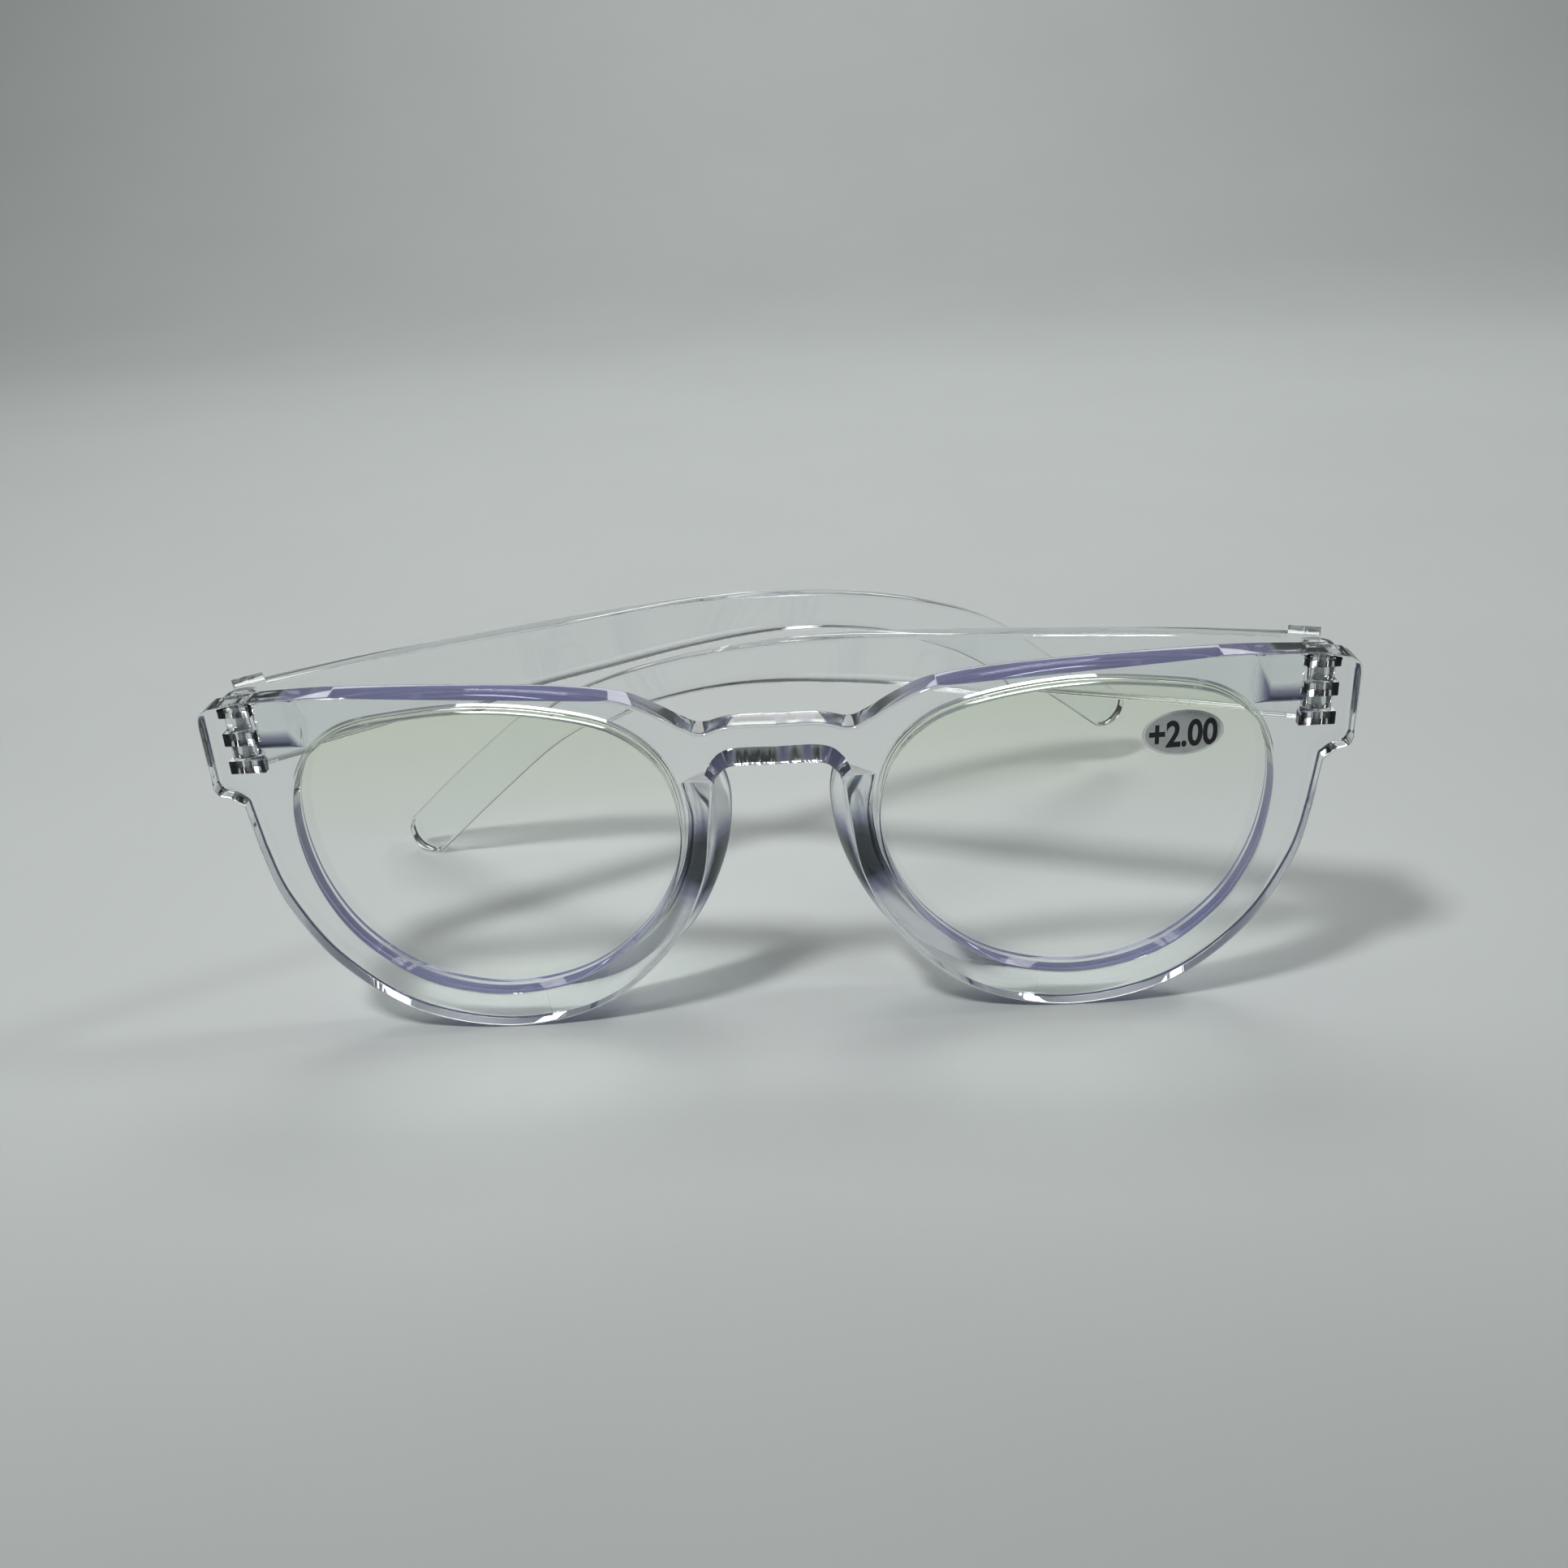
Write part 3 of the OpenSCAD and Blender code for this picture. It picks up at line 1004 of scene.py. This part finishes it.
    def leaves(self, side: Side) -> list[bpy.types.Object]:
        """Makes the three fixed leaves of one hinge and the block beside them.

        Args:
            side: Which hinge it is.

        Returns:
            The leaves, and then the block.
        """
        s = self.sizes
        reach, behind = s.front_d - s.axis_y - 0.6, -s.leaf_r - s.web
        turns = [math.pi * k / 18 for k in range(19)]
        plan = [(s.leaf_r * math.cos(t), s.leaf_r * math.sin(t)) for t in turns]
        plan += [(behind, -s.leaf_r * 0.6), (behind, reach), (s.leaf_r, reach)]
        plan = [(side.value * (s.axis_x + x), s.axis_y + y) for x, y in plan]
        made = [rounded_slab("leaf", plan, s.leaf_z(i), s.leaf_z(i) + s.leaf_h, self.leaf_edge_r,
                             plan_view, 2) for i in (0, 2, 4)]
        end, root, back = s.block_end, s.front_d - s.root_in, s.front_d + s.block_d
        block = [(end - s.block_l, root), (end, root), (end, back), (end - s.block_top, back)]
        made.append(rounded_slab("leaf_block", [(side.value * x, y) for x, y in block],
                                 s.hinge_top - s.block_h, s.hinge_top - FINE_EDGE,
                                 self.block_edge_r, plan_view, 3))
        return made

    def bore(self, radius: float, low: float, high: float, side: Side) -> bpy.types.Object:
        """A round tool on one hinge axis."""
        return round_tool(radius, low, high, side.value * self.sizes.axis_x, self.sizes.axis_y)

    def build(self) -> bpy.types.Object:
        """Makes the front moulding and gives it its finish.

        Returns:
            The piece that stands for the front.
        """
        s = self.sizes
        piece = self.plate()
        head_z = s.hinge_top - s.screw_head_h
        for side in Side:
            worked(piece, self.facet_tool(side), Join.CUT)
            worked(piece, self.nose_pad(side), Join.ADD)
            for leaf in self.leaves(side):
                worked(piece, leaf, Join.ADD)
            worked(piece, self.bore(s.screw_r + 0.01, s.hinge_z - 1, head_z + 0.1, side), Join.CUT)
            worked(piece, self.bore(s.screw_head_r, head_z, head_z + 3, side), Join.CUT)
        worked(piece, self.arch_tool(), Join.CUT)
        # Paints reflections into the front's colour by the place of each face.
        self.paint_wall_reflections(piece)
        return piece

    def paint_wall_reflections(self, piece: bpy.types.Object) -> None:
        """Marks the walls where reflections are painted into the front's colour: violet and dark
        patches that stand in for the room seen along long light paths through the plastic.

        Args:
            piece: The front moulding.
        """
        data = piece.data
        marks = data.attributes.new(PAINTED_REFLECTION_MARK, "FLOAT", "CORNER")
        for face in data.polygons:
            for corner in face.loop_indices:
                point = data.vertices[data.loops[corner].vertex_index].co / MM
                marks.data[corner].value = self.painted_reflection_share(point, face.normal)

    def painted_reflection_share(self, point: Vector, normal: Vector) -> float:
        """How much painted reflection a wall shows.

        Args:
            point: A corner of the wall, in millimetres.
            normal: Which way the wall faces.

        Returns:
            From 0, clear, over 1, the painted violet reflection, to 2, the painted dark reflection
            in the bevel of the arch, low in the nose pads and at the foot of the leaf blocks. The
            end pieces stay clear.
        """
        s = self.sizes
        x, y, z = point
        across = abs(x)
        share = min(max((0.75 - abs(normal.y)) / 0.5, 0.0), 1.0)
        behind = y > s.front_d + 0.01
        # Painted dark reflection at the foot of the leaf blocks; the end pieces stay clear.
        if z > s.hinge_z - 4 and across > s.axis_x - 7:
            above_foot = z - (s.hinge_top - s.block_h)
            return 2.0 - 0.9 * above_foot if behind and across < s.block_end + 0.1 else 0.0
        if behind:
            share *= 0.35 if normal.z < -0.15 else 0.0
            near_nose = across < s.cx - s.lens_w * 0.3
            return max(share, self.painted_pad_reflection(x, z, normal)) if near_nose else share
        if z <= s.under_z - 3.1 or across >= self.bridge_reach:
            return share
        if z < s.under_z + 2 and across < s.bridge_w / 2 - 2:
            return self.painted_arch_reflection(x, y) if abs(normal.y) < 0.95 else 0.0
        fade = (across - self.bridge_clear) / (self.bridge_reach - self.bridge_clear)
        return share * max(fade, 0.0)

    def painted_arch_reflection(self, x: float, y: float) -> float:
        """Finds the painted reflection of the arch, in patches along it and darker to the back.

        Args:
            x: The place along X.
            y: How far it is behind the front face.

        Returns:
            The mark, 0 to 2.
        """
        s = self.sizes
        patches = 2.6 * math.cos(1.25 * x - 1.4) * math.cos(0.55 * x + 0.2) - 0.1
        corner = 1.5 if abs(x) > s.bridge_w / 2 - 7.4 else 0.0
        back = min(max((y - s.front_d * 0.3) / (s.front_d * 0.4), 0.0), 1.0)
        return min(max(patches, corner) * (0.3 + 0.7 * back), 2.0) if y > 0 else 0.0

    def painted_pad_reflection(self, x: float, z: float, normal: Vector) -> float:
        """Finds the painted reflection of a nose pad, highest on the nose side below its middle.

        Args:
            x: The place along X.
            z: Its height.
            normal: Which way the wall faces.

        Returns:
            The mark, 0 to 2.
        """
        s = self.sizes
        height = (z - s.cz * 0.8) / 5.5
        towards_nose = max(-normal.x * math.copysign(1.0, x) + 0.3, 0.0)
        return min(2.6 * math.exp(-height * height) * towards_nose, 2.0)


def round_tool(radius: float, low: float, high: float, x: float, y: float) -> bpy.types.Object:
    """An upright round bar.

    Args:
        radius: Its radius.
        low: Height of its bottom.
        high: Height of its top.
        x: Its place along X.
        y: Its place along Y.

    Returns:
        The bar.
    """
    return rounded_slab("bar", round_plan(radius, 40, x, y), low, high, FINE_EDGE, plan_view, 1)


# The lenses and the label


@dataclass
class Lens:
    """One lens, seated in the groove of its rim."""

    sizes: Sizes
    frontal: Frontal
    rings: int = 14
    ease: float = 0.12

    def build(self, side: Side) -> bpy.types.Object:
        """Makes the lens.

        Args:
            side: Which side it is for.

        Returns:
            The lens, with a spherical front and back and an eased edge.
        """
        s = self.sizes
        edge = grown(self.frontal.opening(), s.groove_d - s.lens_gap)
        shares = [k / self.rings for k in range(1, self.rings)] + [1 - self.ease / s.cz]
        shell = Shell()

        def ring(share: float, surface: Callable[[float, float], float]) -> Ring:
            """The corners at one share of the way from the middle to the edge."""
            points = [(s.cx + (x - s.cx) * share, s.cz + (z - s.cz) * share) for x, z in edge]
            return shell.ring(front_view(side.value * x, z, surface(x, z)) for x, z in points)

        fronts = [ring(share, s.lens_front) for share in shares]
        backs = [ring(share, s.lens_back) for share in shares]
        rim = [ring(1.0, lambda x, z: s.lens_front(x, z) + self.ease),
               ring(1.0, lambda x, z: s.lens_back(x, z) - self.ease)]
        shell.wall([*fronts, *rim, *reversed(backs)])
        shell.fan(front_view(side.value * s.cx, s.cz, s.lens_front(s.cx, s.cz)), fronts[0])
        shell.fan(front_view(side.value * s.cx, s.cz, s.lens_back(s.cx, s.cz)), backs[0])
        return shell.piece(f"{side.name.lower()}_lens_blank")


@dataclass
class PowerLabel:
    """The oval film on the left lens, with its border and its number."""

    sizes: Sizes
    number: str = "+2.00"
    film_t: float = 0.07
    ink_t: float = 0.02
    digit_h: float = 3.7
    type_size: float = 1.3
    narrow: float = 0.8
    bold: float = 0.13
    sides: int = 96
    rings: int = 8

    @property
    def middle(self) -> Point:
        """Where the middle of the label is on the front view."""
        s = self.sizes
        return (s.cx + s.lens_w * s.label_at[0], s.cz + s.lens_h * s.label_at[1])

    def on_lens(self, x: float, z: float, proud: float) -> Vector:
        """A point of the label's own drawing, laid on the lens and standing proud of it."""
        px, pz = self.middle[0] + x, self.middle[1] + z
        return front_view(px, pz, self.sizes.lens_front(px, pz) - proud)

    def oval(self, name: str, inner: float, outer: float, low: float, high: float,
             ) -> bpy.types.Object:
        """An oval film between two shares of the label's size.

        Args:
            name: The name of the piece.
            inner: Share of the inner edge, or 0 for a full oval.
            outer: Share of the outer edge.
            low: How far its underside is above the lens.
            high: How far its top is above the lens.

        Returns:
            The film.
        """
        s = self.sizes
        shell = Shell()

        def ring(share: float, proud: float) -> Ring:
            """The corners of one oval."""
            return shell.ring(self.on_lens(x * s.label_w / 2, z * s.label_h / 2, proud)
                              for x, z in round_plan(share, self.sides))

        if inner > 0:
            rings = [ring(inner, low), ring(inner, high), ring(outer, high), ring(outer, low)]
            shell.wall([*rings, rings[0]])
            return shell.piece(name)
        shares = [outer * k / self.rings for k in range(1, self.rings + 1)]
        tops = [ring(share, high) for share in shares]
        bottoms = [ring(share, low) for share in shares]
        shell.wall([*tops, *reversed(bottoms)])
        shell.fan(self.on_lens(0, 0, high), tops[0])
        shell.fan(self.on_lens(0, 0, low), bottoms[0])
        return shell.piece(name)

    def digits(self) -> bpy.types.Object:
        """Makes the printed number, as a thin raised print.

        Returns:
            The print, laid on the film.
        """
        drawn = bpy.data.curves.new("number", "FONT")
        drawn.body = self.number
        drawn.size = self.digit_h * self.type_size
        drawn.align_x = "CENTER"
        drawn.offset = self.bold
        drawn.extrude = self.ink_t / 2
        drawn.resolution_u = 6
        holder = bpy.data.objects.new("number", drawn)
        bpy.context.scene.collection.objects.link(holder)
        graph = bpy.context.evaluated_depsgraph_get()
        data = bpy.data.meshes.new_from_object(holder.evaluated_get(graph))
        bpy.data.objects.remove(holder)
        lift = self.digit_h * 0.47
        for corner in data.vertices:
            x, z, up = corner.co
            proud = self.film_t + self.ink_t / 2 + up
            corner.co = self.on_lens(x * self.narrow, z - lift, proud) * MM
        made = bpy.data.objects.new("power_label_digits", data)
        bpy.context.scene.collection.objects.link(made)
        return made


# The temples


@dataclass
class Temple:
    """One temple: a flat arm that bends down behind the ear, with its two hinge leaves."""

    sizes: Sizes
    steps: int = 10
    edge_r: float = 0.55
    leaf_edge_r: float = 0.12
    step_edge_r: float = 0.15

    def outline(self) -> list[Point]:
        """Draws the side view of the arm.

        Returns:
            The closed outline, each point along from the hinge axis and up.
        """
        s = self.sizes
        tip_r = s.ear_w / 2
        start_z = s.arm_top - s.temple_h / 2
        tall = (s.temple_h - 0.5, s.temple_h - 1.5, (s.temple_h + s.waist_h) / 2, s.waist_h + 1.3,
                s.waist_h + 0.2, s.waist_h, s.waist_h + 0.3, s.ear_w - 0.4, s.ear_w)
        line = [(s.arm_start, start_z, s.temple_h)]
        line += [(p[0] * s.temple_l, start_z - p[1] * (start_z - tip_r), h)
                 for p, h in zip(ARM_LINE, tall)]
        line.append((s.temple_l, tip_r, s.ear_w))
        middle = open_curve(line, self.steps)
        lower, upper = [], []
        for i, (along, up, height) in enumerate(middle):
            before, after = middle[max(i - 1, 0)], middle[min(i + 1, len(middle) - 1)]
            run = Vector((after[0] - before[0], after[1] - before[1])).normalized()
            if i == 0:
                run = Vector((1, 0))
            lower.append((along + run.y * height / 2, up - run.x * height / 2))
            upper.append((along - run.y * height / 2, up + run.x * height / 2))
        turn = math.atan2(run.y, run.x)
        tip = [(s.temple_l + tip_r * math.cos(turn + a), tip_r + tip_r * math.sin(turn + a))
               for a in (math.radians(5 * k) for k in range(-17, 18))]
        return lower + tip + upper[::-1]

    def open_arm(self, lift: float) -> bpy.types.Object:
        """The open temple with its hinge axis on the Z axis.

        Args:
            lift: How far it flexes up, in degrees.

        Returns:
            The arm with its leaves and its bore.
        """
        s = self.sizes
        inner, outer, reach = s.hinge_inset - s.temple_t, s.hinge_inset, s.leaf_r + s.swing_gap
        arm = rounded_slab("arm", self.outline(), inner, outer, self.edge_r,
                           lambda along, up, out: Vector((out, along, up)))
        start, end = s.arm_start, s.arm_start + s.step_l
        plan = ((inner, start), (outer, start), (outer, end), (inner, end))
        step = rounded_slab("step", plan, s.arm_top - 3, s.arm_top + s.step_h, self.step_edge_r,
                            plan_view, 2)
        worked(arm, step, Join.ADD)
        hinge = Matrix.Translation((0, 0, (s.hinge_z + s.hinge_h / 2) * MM))
        moved(arm, hinge @ Matrix.Rotation(math.radians(lift), 4, "X") @ hinge.inverted())
        for i in (0, 2, 4):
            low = s.hinge_z - 5 if i == 0 else s.leaf_z(i) - s.leaf_gap
            high = s.leaf_z(i) + s.leaf_h + s.leaf_gap
            worked(arm, round_tool(reach, low, high, 0, 0), Join.CUT)
            plan = ((-5, -5), (reach, -5), (reach, 0), (-5, 0))
            notch = rounded_slab("notch", plan, low, high, FINE_EDGE, plan_view, 1)
            worked(arm, notch, Join.CUT)
        for i in (1, 3):
            leaf = rounded_slab("leaf", round_plan(s.leaf_r, 48), s.leaf_z(i),
                                s.leaf_z(i) + s.leaf_h, self.leaf_edge_r, plan_view, 2)
            worked(arm, leaf, Join.ADD)
        bore = round_tool(s.screw_r + s.screw_gap, s.hinge_z - 1, s.hinge_top, 0, 0)
        return worked(arm, bore, Join.CUT)

    def build(self, side: Side) -> bpy.types.Object:
        """Makes one temple, folded.

        Args:
            side: Which side it is for.

        Returns:
            The temple where it lies on the front.
        """
        s = self.sizes
        fold, lift = (s.left_fold, 0) if side is Side.LEFT else (s.right_fold, s.right_lift)
        arm = self.open_arm(lift)
        arm.name = f"{side.name.lower()}_temple_arm"
        swing = (Matrix.Diagonal((side.value, 1, 1, 1))
                 @ Matrix.Translation(Vector((s.axis_x, s.axis_y, 0)) * MM)
                 @ Matrix.Rotation(math.radians(90 - fold), 4, "Z"))
        return moved(arm, swing)


# The room


@dataclass(frozen=True)
class SoftLamp:
    """One soft light, in metres: a square panel, or a strip where it has a height of its own."""

    name: str
    place: Spot
    size: float
    watts: float
    colour: Colour = (1.0, 1.0, 1.0)
    target: Spot = (0.0, 0.0, 0.0)
    strip_h: float = 0.0

    def hang(self) -> None:
        """Hangs the light at its place and turns it to its target."""
        data = bpy.data.lights.new(self.name, "AREA")
        data.size = self.size
        if self.strip_h:
            data.shape, data.size_y = "RECTANGLE", self.strip_h
        data.energy = self.watts
        data.color = self.colour
        lamp = bpy.data.objects.new(self.name, data)
        bpy.context.scene.collection.objects.link(lamp)
        lamp.location = self.place
        aim = Vector(self.target) - Vector(self.place)
        lamp.rotation_euler = aim.to_track_quat("-Z", "Y").to_euler()


LAMPS = (SoftLamp("left_softbox", (-0.2, -0.27, 0.58), 0.08, 2.6),
         SoftLamp("right_softbox", (0.6, 0.07, 0.78), 0.12, 1.5, (0.97, 0.98, 1.0)),
         SoftLamp("back_softbox", (0.0, 0.5, 0.85), 0.5, 3.5, target=(0.0, 0.85, 0.25)),
         SoftLamp("edge_strip", (0.0, 0.45, 0.27), 0.9, 0.4, strip_h=0.05))


@dataclass
class Studio:
    """The camera, the floor and the lights."""

    eye: Spot = (7.5, -172.9, 119.6)
    yaw: float = -2.21
    pitch: float = -25.91
    roll: float = 3.53
    lens: float = 34.66
    floor_reach: float = 1.2
    floor_front: float = -0.45
    floor_back: float = 0.5
    sweep_r: float = 0.5
    backdrop_h: float = 0.9
    floor_colour: Colour = (0.5, 0.53, 0.52)
    floor_rough: float = 0.6
    # Painted shade: the floor's colour darkens towards the front between these two places.
    painted_front_shade: float = 0.66
    shade_from: float = -0.14
    shade_to: float = -0.04
    pale: Colour = (0.66, 0.71, 0.7)
    dark: Colour = (0.03, 0.034, 0.04)
    seen_gain: float = 1.9
    sky_strength: float = 0.36
    sky_lean: float = 0.55
    bounces: int = 24
    clamp: float = 6.0

    def camera(self, face_y: float) -> None:
        """Sets the camera.

        Args:
            face_y: Where the front face is along Y, in metres.
        """
        yaw, pitch, roll = (math.radians(a) for a in (self.yaw, self.pitch, self.roll))
        ahead = Vector((math.sin(yaw) * math.cos(pitch), math.cos(yaw) * math.cos(pitch),
                        math.sin(pitch)))
        level = Vector((math.cos(yaw), -math.sin(yaw), 0))
        down = ahead.cross(level)
        right = math.cos(roll) * level + math.sin(roll) * down
        below = -math.sin(roll) * level + math.cos(roll) * down
        data = bpy.data.cameras.new("camera")
        data.lens = self.lens
        data.sensor_width = 36.0
        data.clip_start = 0.005
        camera = bpy.data.objects.new("camera", data)
        bpy.context.scene.collection.objects.link(camera)
        turn = Matrix((right, -below, -ahead)).transposed().to_4x4()
        eye = Vector(self.eye) * MM + Vector((0, face_y, 0))
        camera.matrix_world = Matrix.Translation(eye) @ turn
        bpy.context.scene.camera = camera

    def floor(self) -> None:
        """Lays the plain pale floor, which sweeps up into a backdrop far behind."""
        shell = Shell()
        bend = [math.pi / 2 * k / 24 for k in range(25)]
        run = [(self.floor_front, 0.0), *((self.floor_back + self.sweep_r * math.sin(t),
                                            self.sweep_r * (1 - math.cos(t))) for t in bend),
               (self.floor_back + self.sweep_r, self.backdrop_h)]
        rows = [[shell.mesh.verts.new(Vector((x, y, z)) / MM)
                 for x in (-self.floor_reach, self.floor_reach)] for y, z in run]
        for low, high in zip(rows, rows[1:]):
            shell.mesh.faces.new((low[0], low[1], high[1], high[0]))
        floor = shell.piece("floor")
        if floor.data.polygons[0].normal.z < 0:
            floor.data.flip_normals()
        floor.data.polygons.foreach_set("use_smooth", [True] * len(floor.data.polygons))
        floor.data.materials.append(self.floor_paint())

    def floor_paint(self) -> bpy.types.Material:
        """Makes a plain pale paint with faint clouds, with painted shade that makes it a little
        darker in front.

        Returns:
            The material.
        """
        sheet = NodeSheet(bpy.data.materials.new("floor_paint"))
        body = sheet.add("ShaderNodeBsdfPrincipled", Roughness=self.floor_rough)
        clouded = tuple(c * 0.97 for c in self.floor_colour)
        tone = sheet.ramp(sheet.noise(14.0), "Fac", ((0.3, clouded), (0.7, self.floor_colour)))
        # Painted shade, darker towards the front.
        ahead = sheet.mapped(sheet.axes(), "Y", self.shade_from, self.shade_to, self.painted_front_shade)
        shade = sheet.add("ShaderNodeVectorMath")
        shade.operation = "SCALE"
        sheet.link(tone, "Color", shade, 0)
        sheet.link(ahead, "Result", shade, "Scale")
        sheet.link(shade, "Vector", body, "Base Color")
        sheet.link(body, "BSDF", sheet.out, "Surface")
        return sheet.owner

    def sky(self) -> None:
        """Surrounds the scene with pale light from above and behind and a darker room in front."""
        world = bpy.data.worlds.new("room")
        bpy.context.scene.world = world
        sheet = NodeSheet(world)
        apart = sheet.axes("Generated")
        back = sheet.add("ShaderNodeMath")
        back.operation = "MULTIPLY_ADD"
        back.inputs[1].default_value = self.sky_lean
        sheet.link(apart, "Y", back, 0)
        sheet.link(apart, "Z", back, 2)
        tone = sheet.ramp(back, "Value", ((0.45, self.dark), (0.95, self.pale)))
        seen = sheet.add("ShaderNodeLightPath")
        plain = sheet.tinted(seen, "Is Camera Ray", tone, "Color",
                             tuple(self.seen_gain * c for c in self.pale))
        shine = sheet.add("ShaderNodeBackground", Strength=self.sky_strength)
        sheet.link(plain, MIXED, shine, "Color")
        sheet.link(shine, "Background", sheet.out, "Surface")

    def build(self, face_y: float) -> None:
        """Makes the camera, the floor, the sky and the lights.

        Args:
            face_y: Where the front face is along Y, in metres.
        """
        self.camera(face_y)
        self.floor()
        self.sky()
        for lamp in LAMPS:
            lamp.hang()
        scene = bpy.context.scene
        scene.view_settings.view_transform = "Standard"
        scene.cycles.max_bounces = self.bounces
        scene.cycles.transmission_bounces = self.bounces
        scene.cycles.transparent_max_bounces = self.bounces
        scene.cycles.sample_clamp_indirect = self.clamp
        log.info("the room has %d lights", len(LAMPS))


# The whole


CLEAR = ClearFinish(name="clear_moulding", pale=(0.99, 1.0, 0.995), deep=(0.965, 0.985, 0.98),
                    ior=1.5, smear=0.03, ripple=0.04, ripple_scale=70.0,
                    depth_tint=(0.5, 0.62, 0.8), depth_density=9.0, shadow=(0.2, 0.205, 0.195))
# The front takes painted violet and dark reflections on its marked walls.
FRONT = replace(CLEAR, name="clear_front", painted_wall_reflection=(0.24, 0.25, 0.42))
# The lens takes a painted yellow-green coating reflection towards its top.
LENS = ClearFinish(name="coated_lens", pale=(0.99, 0.995, 0.985), deep=(0.985, 0.992, 0.985),
                   ior=1.5, smear=0.02, ripple=0.0, ripple_scale=20.0,
                   depth_tint=(0.9, 0.95, 0.85), depth_density=3.0, shadow=(0.88, 0.9, 0.88),
                   painted_coating_reflection=(0.92, 0.965, 0.83))
FILM = FilmFinish("label_film", (0.62, 0.66, 0.65), (0.52, 0.56, 0.55), (0.25, 0.4), 0.35)
BORDER = FilmFinish("label_border", (0.86, 0.88, 0.87), (0.8, 0.82, 0.81), (0.3, 0.45))
INK = FilmFinish("label_ink", (0.02, 0.02, 0.022), (0.008, 0.008, 0.01), (0.3, 0.5))


@dataclass
class Glasses:
    """The whole object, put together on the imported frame."""

    sizes: Sizes = field(default_factory=Sizes)

    def dress(self, piece: bpy.types.Object, node: str | None, body: str,
              finish: bpy.types.Material, face_y: float) -> None:
        """Moves a piece onto the front plane, gives it its finish and puts it on its body.

        Args:
            piece: The piece, with the front face at Y = 0.
            node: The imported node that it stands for, if it stands for one.
            body: The body that it moves with.
            finish: Its material.
            face_y: Where the front face is along Y, in metres.
        """
        moved(piece, Matrix.Translation((0, face_y, 0)))
        piece.data.materials.clear()
        piece.data.materials.append(finish)
        polished(piece)
        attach(piece, body)
        if node:
            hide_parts(node)
        log.info("%s rides on %s", piece.name, body)

    def build(self, face_y: float) -> None:
        """Builds and dresses every piece.

        Args:
            face_y: Where the front face is along Y, in metres.
        """
        s = self.sizes
        clear, lens_clear = CLEAR.material(), LENS.material()
        frontal = Frontal(s)
        self.dress(frontal.build(), "front_frame", "front", FRONT.material(), face_y)
        for side in Side:
            name = side.name.lower()
            lens = Lens(s, frontal).build(side)
            self.dress(lens, f"{name}_lens", "front", lens_clear, face_y)
            arm = Temple(s).build(side)
            self.dress(arm, f"{name}_temple", f"{name}_temple", clear, face_y)
        self.label(face_y)
        self.screws()

    def label(self, face_y: float) -> None:
        """Builds the label's film, border and number.

        Args:
            face_y: Where the front face is along Y, in metres.
        """
        label = PowerLabel(self.sizes)
        film = label.oval("power_label_film", 0, 1.0, 0.0, label.film_t)
        self.dress(film, "power_label", "front", FILM.material(), face_y)
        border = label.oval("power_label_border", 0.93, 0.99, label.film_t,
                            label.film_t + label.ink_t)
        self.dress(border, None, "front", BORDER.material(), face_y)
        self.dress(label.digits(), None, "front", INK.material(), face_y)

    def screws(self) -> None:
        """Finishes the two packed hinge screws."""
        steel = SteelFinish().material()
        for side in Side:
            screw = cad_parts[f"{side.name.lower()}_hinge_screw"]
            screw.data.materials.clear()
            screw.data.materials.append(steel)
            ease = screw.modifiers.new("eased_edges", "BEVEL")
            ease.width = 0.06 * MM
            ease.segments = 2
            log.info("%s keeps its packed shape", screw.name)


def main() -> None:
    """Builds the room and the glasses."""
    logging.basicConfig(level=logging.INFO, format="%(message)s")
    face_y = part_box("front_frame")[0][1]
    Studio().build(face_y)
    Glasses().build(face_y)


if __name__ == "__main__":
    main()
